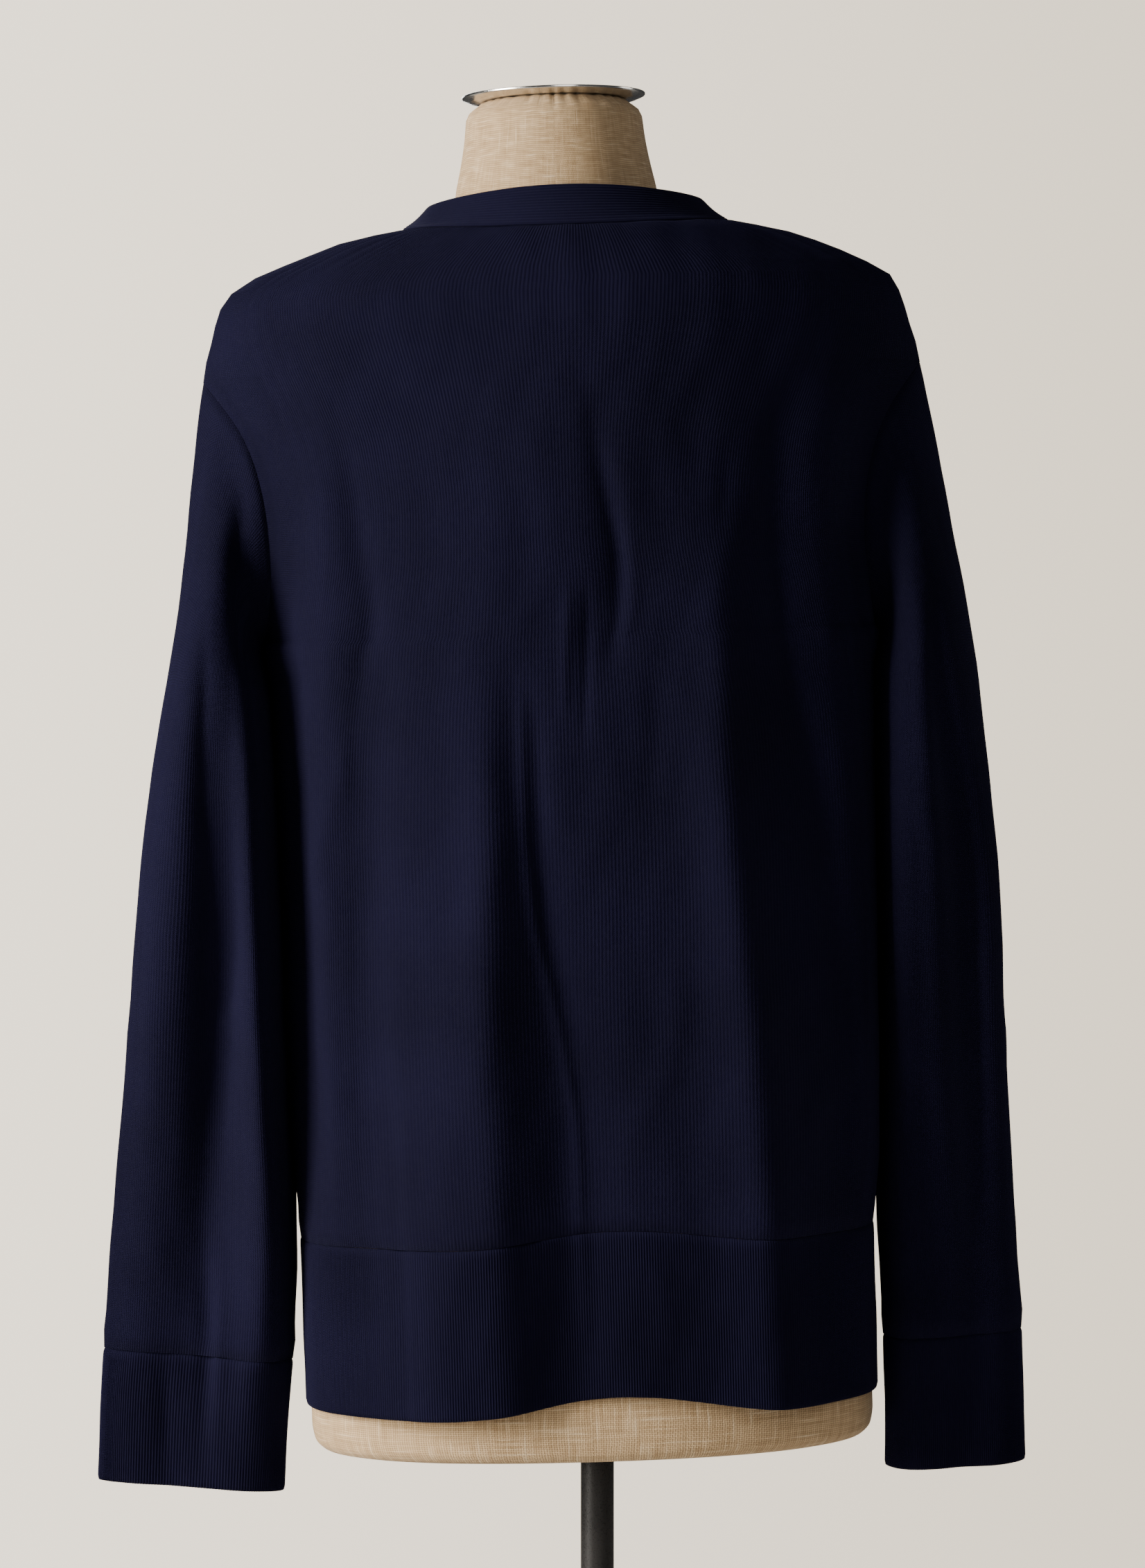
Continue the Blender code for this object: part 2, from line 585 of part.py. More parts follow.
def body_rows():
    """Heights of the panels' rows, from the top of the hem rib to the neckline."""
    low = np.linspace(HEM_RIB_TOP_Z + SEAM_GAP / 2, RING_BOTTOM_Z, LOW_ROWS + 1)
    ring = ring_z_angle(RING_TURNS, 1)[0]
    share = np.linspace(0, 1, SHOULDER_ROWS + 1)[1:]
    top = RING_TOP_Z + (NECK_SIDE_Z - RING_TOP_Z) * (1 - (1 - share) ** 1.7)
    return np.concatenate([low, ring[1:], top])


def seam_half_angle(z, facing):
    """Where a panel ends at the side: the side seam, the armhole or the shoulder seam."""
    ring_z = ring_z_angle(RING_TURNS, 1)[0]
    angle = np.full_like(z, math.pi / 2)
    for turn, ring in zip(RING_TURNS, ring_z):
        y = SEAM_Y + facing * RING_HALF_DEPTH * math.sin(turn)
        angle[np.abs(z - ring) < 1e-9] = ring_angle(ring, y, 1)
    return angle


def neck_z(angle):
    """Height of the neckline round the back, lowest in the middle."""
    return NECK_BACK_Z + (NECK_SIDE_Z - NECK_BACK_Z) * np.sin(angle) ** 2


def seat_ring_edge(middle, half, z, column, side, facing, next_column):
    """Move a panel's edge beside the armhole onto its side of the seam, with the mitred offset;
    elsewhere draw the edge back from the seam by half the gap."""
    ring_z = ring_z_angle(RING_TURNS, 1)[0]
    inwards = unit(middle[:, next_column] - middle[:, column])
    middle[:, column] += inwards * SEAM_GAP / 2
    turns = RING_TURNS if facing > 0 else -RING_TURNS
    point, mitre, across = seam_frame(turns, side)
    for i, row_z in enumerate(z):
        hit = np.nonzero(np.abs(ring_z - row_z) < 1e-9)[0]
        if len(hit):
            k = hit[0]
            middle[i, column] = point[k] - across[k] * SEAM_GAP / 2
            if k in (0, RING_STEPS):
                middle[i, column] += inwards[i] * SEAM_GAP / 2
            half[i, column] = mitre[k]


def back_panel(look):
    z = body_rows()
    half_angle = seam_half_angle(z, 1)
    share = np.linspace(-1, 1, PANEL_COLUMNS + 1)
    angle = half_angle[:, None] * share
    rows = z[:, None] + 0 * angle
    fall = smooth_step(1.38, NECK_SIDE_Z, z)[:, None]
    rows = rows + fall * (neck_z(angle) - NECK_SIDE_Z)
    middle = body(rows, angle)
    half = body_normal(rows, angle) * JERSEY / 2
    seat_ring_edge(middle, half, z, 0, "right", 1, 1)
    seat_ring_edge(middle, half, z, -1, "left", 1, -2)
    return wall("back_panel", middle, half, look)


def front_edge_angle(z):
    """Angle of a front's free edge, along the front opening and the V."""
    offset = read(V_EDGE, "offset", z)
    n = read(BODY, "boxiness", z)
    s = np.clip(offset / read(BODY, "mid_width", z), 0, 0.9999)
    return math.pi - np.arctan2(s, (1 - s ** n) ** (1 / n))


def front_panel(side, look):
    sign = 1 if side == "left" else -1
    z = body_rows()
    start = seam_half_angle(z, -1)
    end = front_edge_angle(z)
    share = np.linspace(0, 1, PANEL_COLUMNS // 2 + 1)
    angle = sign * (start[:, None] + (end - start)[:, None] * share)
    rows = z[:, None] + 0 * angle
    middle = body(rows, angle)
    half = body_normal(rows, angle) * JERSEY / 2
    seat_ring_edge(middle, half, z, 0, side, -1, 1)
    return wall("front_" + side, middle, half, look)


def hem_rows():
    return np.linspace(HEM_Z, HEM_RIB_TOP_Z - SEAM_GAP / 2, RIB_ROWS + 1)


def hem_rib(name, start, end, count, look):
    z = hem_rows()
    pull = SEAM_GAP / 2 / HEM_RADIUS
    angle = np.linspace(start + pull, end - pull, count + 1)
    rows, angles = np.meshgrid(z, angle, indexing="ij")
    return wall(name, body(rows, angles), body_normal(rows, angles) * RIB / 2, look)


def sleeve_piece(side, look):
    turn = np.concatenate([RING_TURNS, -RING_TURNS[::-1][1:-1]])
    v_end = sleeve_v(CUFF_TOP_Z, side)
    cap = np.linspace(0, 1, SLEEVE_CAP_ROWS + 1)
    v = np.concatenate([cap, np.linspace(1, v_end, SLEEVE_ROWS + 1)[1:]])
    vs, turns = np.meshgrid(v, turn, indexing="ij")
    middle = sleeve(vs, turns, side)
    half = sleeve_normal(vs, turns, side) * JERSEY / 2
    point, mitre, across = seam_frame(turn, side)
    middle[0] = point + across * SEAM_GAP / 2
    half[0] = mitre
    return wall("sleeve_" + side, middle, half, look, tube=True)


def cuff(side, look):
    turn = np.concatenate([RING_TURNS, -RING_TURNS[::-1][1:-1]])
    v = np.linspace(sleeve_v(CUFF_TOP_Z - SEAM_GAP, side), sleeve_v(CUFF_HEM_Z, side), CUFF_ROWS + 1)
    vs, turns = np.meshgrid(v, turn, indexing="ij")
    middle = sleeve(vs, turns, side)
    half = sleeve_normal(vs, turns, side) * RIB / 2
    return wall("cuff_" + side, middle, half, look, tube=True)


def neck_band(look):
    """From the right front hem up to the neck, round it and down the left front.
    In front it lies across the opening edge; behind, it stands up and leans in."""
    z = np.concatenate([hem_rows(), body_rows()])
    offset = read(V_EDGE, "offset", z)
    slope = np.gradient(offset, z)
    sine, cosine = slope / np.hypot(1, slope), 1 / np.hypot(1, slope)
    width = np.linspace(SEAM_GAP, BAND_WIDTH, BAND_STEPS + 1)
    turn_in = smooth_step(1.39, NECK_SIDE_Z, z)[:, None]
    inwards = cosine[:, None] * width * (1 - turn_in) + turn_in * width * BAND_IN_SIDE
    upwards = sine[:, None] * width * (1 - turn_in) + turn_in * width * BAND_RISE_SIDE / BAND_WIDTH
    height = z[:, None] + upwards
    across = offset[:, None] - inwards
    half_width, n = read(BODY, "mid_width", height), read(BODY, "boxiness", height)
    s = np.clip(np.abs(across) / half_width, 0, 0.9995) * np.sign(across)
    c = (1 - np.abs(s) ** n) ** (1 / n)
    front = np.arctan2(s, -c)
    apart = (1 - smooth_step(1.24, 1.30, z))[:, None]
    left = body(height, front) - body_normal(height, front) * LAYER_STEP * apart[..., None]
    right = body(height, -front) + body_normal(height, -front) * LAYER_STEP * apart[..., None]
    half_left, half_right = body_normal(height, front), body_normal(height, -front)

    share = np.linspace(-1, 1, PANEL_COLUMNS + 1)[1:-1]
    angle = (share * math.pi / 2)[:, None] + 0 * width
    rise = BAND_RISE_SIDE + (BAND_RISE_BACK - BAND_RISE_SIDE) * np.cos(angle) ** 2
    level = neck_z(angle) + rise * width / BAND_WIDTH
    back, half_back = body(level, angle), body_normal(level, angle)
    middle = np.concatenate([right, back, left[::-1]])
    half = np.concatenate([half_right, half_back, half_left[::-1]]) * RIB / 2
    return wall("neck_band", middle, half, look)


def buttons(look):
    """Buttons down the middle of the front, on the right band, which laps over the left."""
    angle = np.arange(BUTTON_SIDES) * 2 * math.pi / BUTTON_SIDES
    floor = LAYER_STEP + RIB / 2 + SEAM_GAP
    for k, z in enumerate(np.linspace(LOW_BUTTON_Z, HIGH_BUTTON_Z, BUTTON_COUNT)):
        normal = body_normal(z, math.pi)
        centre = body(z, math.pi)
        side = unit(np.cross(np.array([0.0, 0.0, 1.0]), normal))
        up = np.cross(normal, side)
        rings = [centre + normal * (floor + BUTTON_THICK * level)
                 + (side * np.cos(angle)[:, None] + up * np.sin(angle)[:, None]) * BUTTON_RADIUS * r
                 for r, level in BUTTON_PROFILE]
        loft("button_%d" % (k + 1), np.array(rings), look)


def torso(look):
    angle = np.arange(TORSO_COLUMNS) * 2 * math.pi / TORSO_COLUMNS
    z = TORSO["z"][:, None] + 0 * angle
    s, c = oval(angle, TORSO["boxiness"][:, None])
    depth = np.where(c > 0, TORSO["back"][:, None], TORSO["front"][:, None])
    return loft("torso_form", np.stack([TORSO["half_width"][:, None] * s, depth * c, z], axis=-1), look)


def neck_cap(look):
    low = NECK_TOP_Z + SEAM_GAP
    top = low + CAP_THICK
    profile = ((CAP_SEAT_RADIUS, low), (CAP_RADIUS - CAP_EDGE, low + CAP_DISH),
               (CAP_RADIUS, low + CAP_DISH + CAP_EDGE), (CAP_RADIUS, top - CAP_EDGE),
               (CAP_RADIUS - CAP_EDGE, top))
    loft("neck_cap", turned(profile, CAP_SIDES, (0.0, CAP_Y)), look)


def stand(look):
    top = FORM_FOOT_Z - POLE_RADIUS * math.sin(LEAN) - SEAM_GAP
    pole = ((POLE_RADIUS, BASE_THICK + SEAM_GAP), (POLE_RADIUS, top))
    loft("stand_pole", turned(pole, POLE_SIDES), look, tipped=False)
    base = ((BASE_RADIUS - BASE_EDGE, 0), (BASE_RADIUS, BASE_EDGE),
            (BASE_RADIUS, BASE_THICK - BASE_EDGE), (BASE_RADIUS - BASE_EDGE, BASE_THICK))
    loft("stand_base", turned(base, BASE_SIDES), look, tipped=False)


def main():
    for old in list(bpy.data.objects):
        bpy.data.objects.remove(old)
    knit = material("navy_knit", NAVY, 0.9)
    linen = material("linen", LINEN, 0.9)
    cap_metal = material("brushed_cap", STEEL, 0.4, 0.9)
    black = material("black_pole", BLACK, 0.35)
    button_look = material("navy_button", NAVY, 0.3)

    torso(linen)
    neck_cap(cap_metal)
    stand(black)
    back_panel(knit)
    quarter = math.pi / 2
    closed = float(front_edge_angle(np.array([HEM_Z]))[0])
    for side, sign in (("left", 1), ("right", -1)):
        front_panel(side, knit)
        hem_rib("front_%s_hem_rib" % side, *sorted((sign * quarter, sign * closed)),
                PANEL_COLUMNS // 2, knit)
        sleeve_piece(side, knit)
        cuff(side, knit)
    hem_rib("back_hem_rib", -quarter, quarter, PANEL_COLUMNS, knit)
    neck_band(knit)
    buttons(button_look)


main()
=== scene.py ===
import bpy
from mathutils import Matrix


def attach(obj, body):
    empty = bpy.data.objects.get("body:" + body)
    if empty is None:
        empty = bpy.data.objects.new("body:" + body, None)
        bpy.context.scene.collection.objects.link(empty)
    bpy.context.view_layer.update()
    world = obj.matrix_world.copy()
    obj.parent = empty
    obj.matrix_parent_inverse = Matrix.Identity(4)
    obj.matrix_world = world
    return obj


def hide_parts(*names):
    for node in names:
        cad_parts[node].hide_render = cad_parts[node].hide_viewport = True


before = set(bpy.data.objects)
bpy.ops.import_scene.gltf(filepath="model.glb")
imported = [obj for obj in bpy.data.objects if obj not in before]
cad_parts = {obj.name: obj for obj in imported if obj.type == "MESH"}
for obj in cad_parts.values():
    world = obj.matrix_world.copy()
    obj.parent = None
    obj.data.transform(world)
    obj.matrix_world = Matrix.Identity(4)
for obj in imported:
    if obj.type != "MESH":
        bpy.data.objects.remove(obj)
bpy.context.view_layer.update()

import math

import bpy
import numpy as np

# A navy fine-knit cardigan, seen from behind, on a linen dress form with a metal neck cap.
#
# Every piece is a surface worked out as whole arrays from the same named sizes as its solid. The
# garment is drawn upright and then leans with the form. Its knit is modelled: each wale of the
# plain knit and each rib of the hem, cuffs and neckband is a ridge in the mesh.

# ---- sizes, as in the part's source, in metres ----
LEAN = math.radians(1.7)
FORM_FOOT_X = 0.0025          # the middle of the torso's underside, about which all leans
FORM_FOOT_Z = 0.704
JERSEY = 0.0016               # walls of the plain knit and of the ribs
RIB = 0.0022
SEAM_GAP = 0.0003
LAYER_STEP = 0.00125          # each lapped front's way in or out
SEAM_Y = -0.004               # plane of the side seams
HEM_Z = 0.7335
HEM_RIB_TOP_Z = 0.833
RING_TOP_Z = 1.347            # the armholes' ovals
RING_BOTTOM_Z = 1.190
RING_HALF_DEPTH = 0.048
NECK_SIDE_Z = 1.434
NECK_BACK_Z = 1.4287
BAND_WIDTH = 0.0294
BAND_RISE_BACK = 0.0249
BAND_RISE_SIDE = 0.0135
BAND_IN_SIDE = 0.55
CUFF_TOP_Z = 0.764
CUFF_HEM_Z = 0.6845
BUTTON_COUNT = 7
BUTTON_RADIUS = 0.006
BUTTON_THICK = 0.0026
LOW_BUTTON_Z = 0.752
HIGH_BUTTON_Z = 1.202
NECK_TOP_Z = 1.5088
NECK_SEAM_Z = 1.4545
CAP_RADIUS = 0.055
CAP_THICK = 0.0040
CAP_Y = 0.002
POLE_RADIUS = 0.010
BASE_RADIUS = 0.190
BASE_THICK = 0.008
SIDE_POWER = 8                # how close to the side the body's half_width takes over
FOLD_BLEND = 0.25             # cosines over which the back's folds give way to the front's,
FOLD_FADE = 0.35              # and folds fade in from the side seam
HEM_LIFT = 0.0115
HEM_LIFT_X = -0.020
HEM_LIFT_HALF_WIDTH = 0.062
HEM_LIFT_TOP_Z = 1.05
HOLLOW_WIDTH = 0.34           # half widths of a sleeve's lengthwise hollow and crest,
CREST_WIDTH = 0.35            # in halves of the sleeve's width
SHOULDER_LEAVE = np.array([0.18, 0.0, -0.98])
UNDERARM_LEAVE = (0.80, 0.55, -0.42)
LEAVE_PULL = 0.9
SIGN = {"left": 1, "right": -1}

# Columns of the tables that are plain numbers; all others are lengths in millimetres
PLAIN = {"boxiness", "hollow_at", "rise", "crest_at", "degrees", "side"}


def table(names, *rows):
    """Rows as a dictionary with one array for each named column, its lengths in metres."""
    return {name: np.array(values, dtype=float) / (1 if name in PLAIN else 1000)
            for name, values in zip(names.split(), zip(*rows))}


def ways(*folds):
    """Folds up the cloth: a table for each, of its way, half width and height (in, if below 0)."""
    return [table("z x half_width height", *rows) for rows in folds]


# Middle of the garment's cloth, one row a height: half its width at the seams and between them,
# and its depth behind SEAM_Y's plane and in front of it
BODY = table(
    "z half_width mid_width back front boxiness shift",
    (700, 171, 171, 115, 116, 2.5, 0), (833, 171.5, 171.5, 115, 117, 2.5, 0),
    (870, 174.5, 174.5, 114.8, 117.8, 2.47, 0), (920, 176.2, 176.2, 114.4, 118.8, 2.43, 0),
    (970, 177.2, 177.2, 114, 120, 2.4, 0), (1035, 178, 178, 113, 122, 2.35, -1),
    (1100, 179, 179, 113, 126, 2.3, -1), (1150, 180, 180, 114, 130, 2.25, -1),
    (1170, 180.6, 180.6, 114.3, 130.9, 2.22, -1), (1176, 182.3, 182.3, 114.4, 131.2, 2.21, -1),
    (1183, 184.3, 184.3, 114.5, 131.4, 2.2, -1), (1187, 183.9, 183.9, 114.5, 131.5, 2.2, -1),
    (1190, 182, 182, 114.5, 131.5, 2.2, -1), (1220, 185.5, 185.5, 114.5, 129, 2.15, -1),
    (1250, 190.5, 190.5, 114, 122, 2.1, 0), (1280, 197, 196, 112.5, 112, 2.05, 0),
    (1310, 204.5, 202, 110, 100, 2, 0), (1347, 214.5, 206, 106, 84, 2, 0),
    (1370, 209, 206.5, 102.5, 74, 2, 0), (1388, 204, 204, 99, 66.5, 2, 0),
    (1398, 198.5, 198.5, 96.5, 62.5, 2, -1), (1404, 190, 190, 94.8, 60, 2, -1),
    (1412, 173, 173, 92.5, 57, 2, -2), (1420, 153, 153, 89.6, 54.5, 2, -3),
    (1427, 132, 132, 86.8, 52.5, 2, -4), (1434, 98, 98, 82.5, 50, 2, -5),
    (1447.5, 81.5, 81.5, 73.5, 45.5, 2, -5), (1454, 76.5, 76.5, 69.4, 44, 2, -5),
    (1464, 72, 72, 65.5, 43, 2, -5))

# Distance of the V's edge from the middle of the front
V_EDGE = table(
    "z offset",
    (1000, 15), (1215, 15), (1250, 29), (1300, 50), (1360, 74.5), (1400, 88.5), (1420, 93.5),
    (1434, 96.5))

# Main folds of the body, behind and in front
BACK_FOLDS = ways(
    # the flute on the left half
    ((700, 90, 33, 12), (870, 78.2, 31, 10.5), (980, 66, 30, 8.5), (1100, 50, 28, 5),
     (1200, 50, 26, 2.5), (1290, 56, 24, 0)),
    # its crest, steep towards the middle
    ((700, 50, 22, 7.5), (870, 50, 21, 8), (960, 53, 19, 7), (1060, 51, 15, 5), (1160, 48, 12, 0)),
    # the shallow trough on its outer side
    ((760, 126, 18, 0), (860, 126, 18, -5), (1000, 124, 17, -6.5), (1100, 118, 16, -5),
     (1200, 112, 14, -2), (1260, 110, 14, 0)),
    # the flute on the right half
    ((700, -108, 30, 10.5), (885, -103.3, 30, 9.5), (1035, -93, 28, 8), (1125, -86, 26, 6.5),
     (1200, -86.6, 24, 4.5), (1300, -100, 22, 1.5), (1360, -105, 20, 0)),
    # its crest, steep towards the side
    ((700, -114, 18, 6), (885, -108, 18, 6), (1035, -95, 16, 5.5), (1125, -89, 14, 4.5),
     (1200, -89, 12, 2.5), (1290, -96, 12, 0)),
    # the trough between them, up the small of the back
    ((700, 15, 24, -5), (862, 5, 22, -5), (963, 13.2, 18, -4.5), (1065, 26.3, 15, -4),
     (1157, 35.6, 13, -2.5), (1200, 37, 12, 0)),
    # the crease down the middle of the shoulders
    ((1150, -15, 12, 0), (1180, -20.5, 13, -2), (1225, -29, 14, -3.5), (1262, -24.5, 13, -2.5),
     (1340, -15, 12, 0)),
    # the ridge beside the left armhole
    ((800, 154, 13, 0), (900, 152, 14, 3), (1050, 150, 14, 4), (1150, 146, 15, 4.5),
     (1200, 144, 15, 5.5), (1260, 140, 14, 4.5), (1330, 140, 13, 0)),
    # the ridge beside the right armhole
    ((760, -167, 11, 0), (850, -167, 12, 5), (960, -166, 12, 6), (1080, -160, 14, 6),
     (1150, -153, 18, 6), (1200, -152, 18, 7.5), (1260, -151, 17, 6.5), (1320, -156, 15, 3.5),
     (1370, -165, 14, 0)),
)
FRONT_FOLDS = ways(
    # the fronts' flutes
    ((700, 90, 26, 9), (900, 84, 24, 7), (1120, 78, 20, 0)),
    ((700, -88, 26, 9.5), (880, -85, 24, 7), (1080, -80, 20, 0)),
    # the trough beside the buttons
    ((700, 44, 16, -3.5), (880, 46, 16, -2.5), (1050, 48, 14, 0)),
)

# One row a height of a sleeve: its outer and inner sides from the form's middle, its half depth,
# the depth of its lengthwise hollow behind, how far a section rises for each metre outwards, and
# how far its inner side is tucked before the body's side, and a crest behind, along its length
SECTION = "z outer inner middle_y half_depth boxiness hollow hollow_at rise tuck crest crest_at"
SLEEVES = {
    "left": table(
        SECTION,
        (1165, 239.5, 180.8, -2, 74, 2, 6, 0.1, 0.04, 30, 14, -0.78),
        (1100, 251, 179.4, -2, 68, 2, 12, 0.05, 0.05, 34, 22, -0.78),
        (1037, 260, 178.7, 0, 58, 2, 14, 0, 0.06, 34, 28, -0.78),
        (980, 267.5, 178.4, 1, 46, 2.1, 13, -0.05, 0.07, 32, 34, -0.78),
        (920, 274.5, 178, 2, 34, 2.2, 11, -0.1, 0.08, 30, 36, -0.78),
        (870, 281, 176.6, 2, 26, 2.2, 8, -0.1, 0.09, 28, 34, -0.78),
        (821, 286.8, 176.7, 2, 20, 2.3, 6, 0, 0.09, 10, 26, -0.76),
        (780, 290.5, 179, 2, 17, 2.3, 5, 0.1, 0.09, 0, 16, -0.72),
        (730, 295, 184.5, 2, 15, 2.4, 4, 0.15, 0.09, 0, 6, -0.7),
        (680, 297.8, 189, 2, 14.5, 2.4, 3.5, 0.2, 0.09, 0, 3, -0.7)),
    "right": table(
        SECTION,
        (1165, 238.5, 182.8, -2, 75, 2, 6, 0.25, 0.02, 30, 6, -0.8),
        (1100, 242.5, 181.3, -1, 71, 2, 12, 0.35, 0.02, 34, 11, -0.8),
        (1022, 249, 180.3, 0, 64, 2, 14, 0.42, 0.02, 34, 14, -0.8),
        (950, 252.5, 179, 0, 54, 2, 14, 0.42, 0.02, 32, 14, -0.8),
        (880, 255.5, 177.2, 0, 46, 2, 12, 0.4, 0.02, 28, 14, -0.8),
        (821, 257.5, 176.8, 0, 40, 2, 9, 0.35, 0.02, 10, 12, -0.8),
        (770, 259, 177.5, 0, 35, 2, 7, 0.25, 0.02, 0, 8, -0.8),
        (730, 259, 177.8, 0, 31, 2, 6, 0.15, 0.02, 0, 5, -0.8),
        (680, 259, 176.8, 0, 30, 2, 6, 0.1, 0.02, 0, 4, -0.8)),
}

# The torso and neck, about their own middle
TORSO = table(
    "z half_width back front boxiness",
    (704, 154, 87, 90, 2.3), (706.2, 162.5, 95.5, 98.5, 2.3), (712, 167.5, 100.5, 103.5, 2.3),
    (722, 169, 102, 105, 2.3), (790, 169, 102.5, 106.5, 2.3), (860, 165, 101, 106, 2.3),
    (920, 156, 96, 101, 2.3), (990, 140, 86, 93, 2.2), (1050, 129, 80, 88, 2.2),
    (1100, 133, 85, 96, 2.2), (1150, 143, 95, 113, 2.2), (1195, 152, 103, 124, 2.1),
    (1240, 160, 104, 118, 2.1), (1280, 170, 103.5, 105, 2), (1320, 182, 101, 92, 2),
    (1350, 190, 97.5, 80, 2), (1380, 193, 93, 66, 2), (1392, 191.5, 91, 61, 2),
    (1400, 183, 89, 58, 2), (1410, 165.5, 86, 54, 2), (1418, 146.5, 83.2, 51.5, 2),
    (1426, 122, 79.5, 49.5, 2), (1432, 93, 73.5, 48.5, 2), (1439, 74, 67.5, 50, 2),
    (1448, 63, 62, 52, 2), (1462, 59, 59, 52, 2), (1485, 54.5, 57, 51, 2),
    (1504, 52.3, 55.5, 50, 2), (1507.8, 51.5, 54.7, 49.2, 2), (1508.8, 50, 53.2, 47.7, 2))

# ---- fine creases, over the main folds ----
# Long creases up the back
LONG_CREASES = ways(
    # crisp edge in the trough between the flutes
    ((760, 2, 5, 0), (843, 3.6, 4.5, 1.2), (896, 4, 4.2, 1.6), (945, 10.5, 4, 1.6),
     (980, 17.1, 4, 1.4), (1020, 25.5, 4, 1.5), (1076, 29.7, 4.2, 1.4), (1133, 29.2, 4.2, 1.2),
     (1165, 29, 4, 0)),
    # dark line beside it
    ((930, -1, 5, 0), (980, 8, 5, -1), (1040, 19, 5, -1.4), (1100, 21, 5, -1.2), (1150, 20, 5, 0)),
    # sharp line between the shoulder blades
    ((1165, -19, 4.5, 0), (1202, -28.4, 4.5, -1.4), (1232, -29.3, 4.8, -1.8),
     (1262, -24.5, 4.8, -1.4), (1300, -18.5, 6, -0.8), (1350, -13, 8, 0)),
    # its lit lip
    ((1175, -29, 4, 0), (1210, -38, 5, 1), (1250, -36, 5.5, 1.1), (1300, -29, 7, 0)),
    # small creases left of the middle
    ((1120, -6, 3.5, 0), (1150, -8, 3.5, -1), (1190, -10, 3.8, -1.3), (1225, -11, 4, 0)),
    ((1135, 4.5, 3.5, 0), (1160, 3.5, 3.5, 0.9), (1200, 1, 3.8, 0.9), (1225, -0.5, 4, 0)),
    # trough inside the left armhole
    ((1130, 126, 8, 0), (1170, 122, 7.5, -2), (1200, 115.5, 7.5, -2.6), (1237, 119, 8, -2.4),
     (1293, 126, 9, -1.2), (1340, 132, 10, 0)),
    # and inside the right one
    ((1040, -148, 8, 0), (1100, -140, 8.5, -2.2), (1181, -125, 9, -3.2), (1237, -121.4, 9.5, -3.2),
     (1293, -123.1, 10, -2), (1340, -133, 10, 0)),
    # lit ridge down the right side
    ((835, -164.5, 10, 0), (890, -164.5, 10, 5), (960, -164.5, 10, 6), (1080, -161, 11, 5.5),
     (1180, -158, 11, 3.5), (1280, -156, 10, 0)),
    # crease down to the hem on the left
    ((700, 108, 4.5, -1), (760, 108.5, 4.5, -1.2), (860, 110, 5, -1.2), (930, 114, 6, -0.8),
     (990, 119, 7, 0)),
    # dark fall beside the left arm
    ((835, 161, 11, 0), (880, 162, 12, -4.5), (960, 165, 12, -5.5), (1060, 168, 10, -5),
     (1150, 168, 9, -3), (1200, 168, 8, 0)),
    # ripples on the left waist
    ((990, 151, 6, 0), (1034, 144.9, 6, 1), (1057, 151.5, 6, 1.2), (1091, 143.2, 6, 1.2),
     (1110, 135.1, 6, 1.1), (1150, 138, 6, 0)),
)

# Short creases as bowed strokes from one point to another: on the back (x, z), then the front
# (x, z), then each sleeve (distance from its middle, z; behind +1, before -1)
STROKE = "x0 z0 x1 z1 bow half_width height"
BACK_STROKES = table(
    STROKE,
    (-94.9, 1305, -86, 1230, 2, 6, -1.2), (-29.9, 913.1, -68.2, 933, 3, 5, 0.9),
    (105, 1130, 48, 1090, -4, 9, 1), (-150, 1020, -95, 950, 6, 10, 1.4),
    (-158, 950, -115, 880, 5, 9, 1.1), (156, 940, 115, 870, -5, 10, 1.1),
    (-50, 1190, -38, 1050, 3, 8, -1), (-60, 1050, -48, 900, 3, 9, 0.9),
    (170, 1260, 148, 1185, -6, 5, -1.2), (-172, 1270, -156, 1180, 6, 5, -1.2),
    (150, 1350, 90, 1370, 5, 12, -0.8), (-155, 1348, -95, 1372, -5, 12, -0.8),
    (112, 850, 108, 740, 0, 7, -0.9), (-40, 870, -44, 740, 0, 8, 0.8),
    (-136, 860, -140, 740, 0, 7, -1), (38, 900, 40, 760, 0, 9, -0.8))
FRONT_STROKES = table(
    STROKE,
    (150, 1170, 100, 1230, -6, 9, -2.4), (160, 1140, 100, 1175, -6, 8, 2),
    (-148, 1165, -98, 1235, 6, 9, -2.6), (-158, 1135, -90, 1165, 6, 8, 1.8),
    (70, 1130, 20, 1105, -3, 6, 1.2), (-70, 1060, -20, 1030, 3, 6, 1.2),
    (62, 990, 20, 955, -3, 6, 1.1), (-60, 915, -20, 885, 3, 6, 1),
    (135, 1070, 115, 900, -6, 11, 1.6), (-130, 1040, -112, 870, 6, 11, 1.7),
    (56, 1040, 48, 840, 3, 9, -1.4), (-55, 1080, -45, 850, -3, 9, -1.4),
    (130, 1335, 95, 1290, 4, 10, -1.2), (-132, 1330, -98, 1285, -4, 10, -1.2))
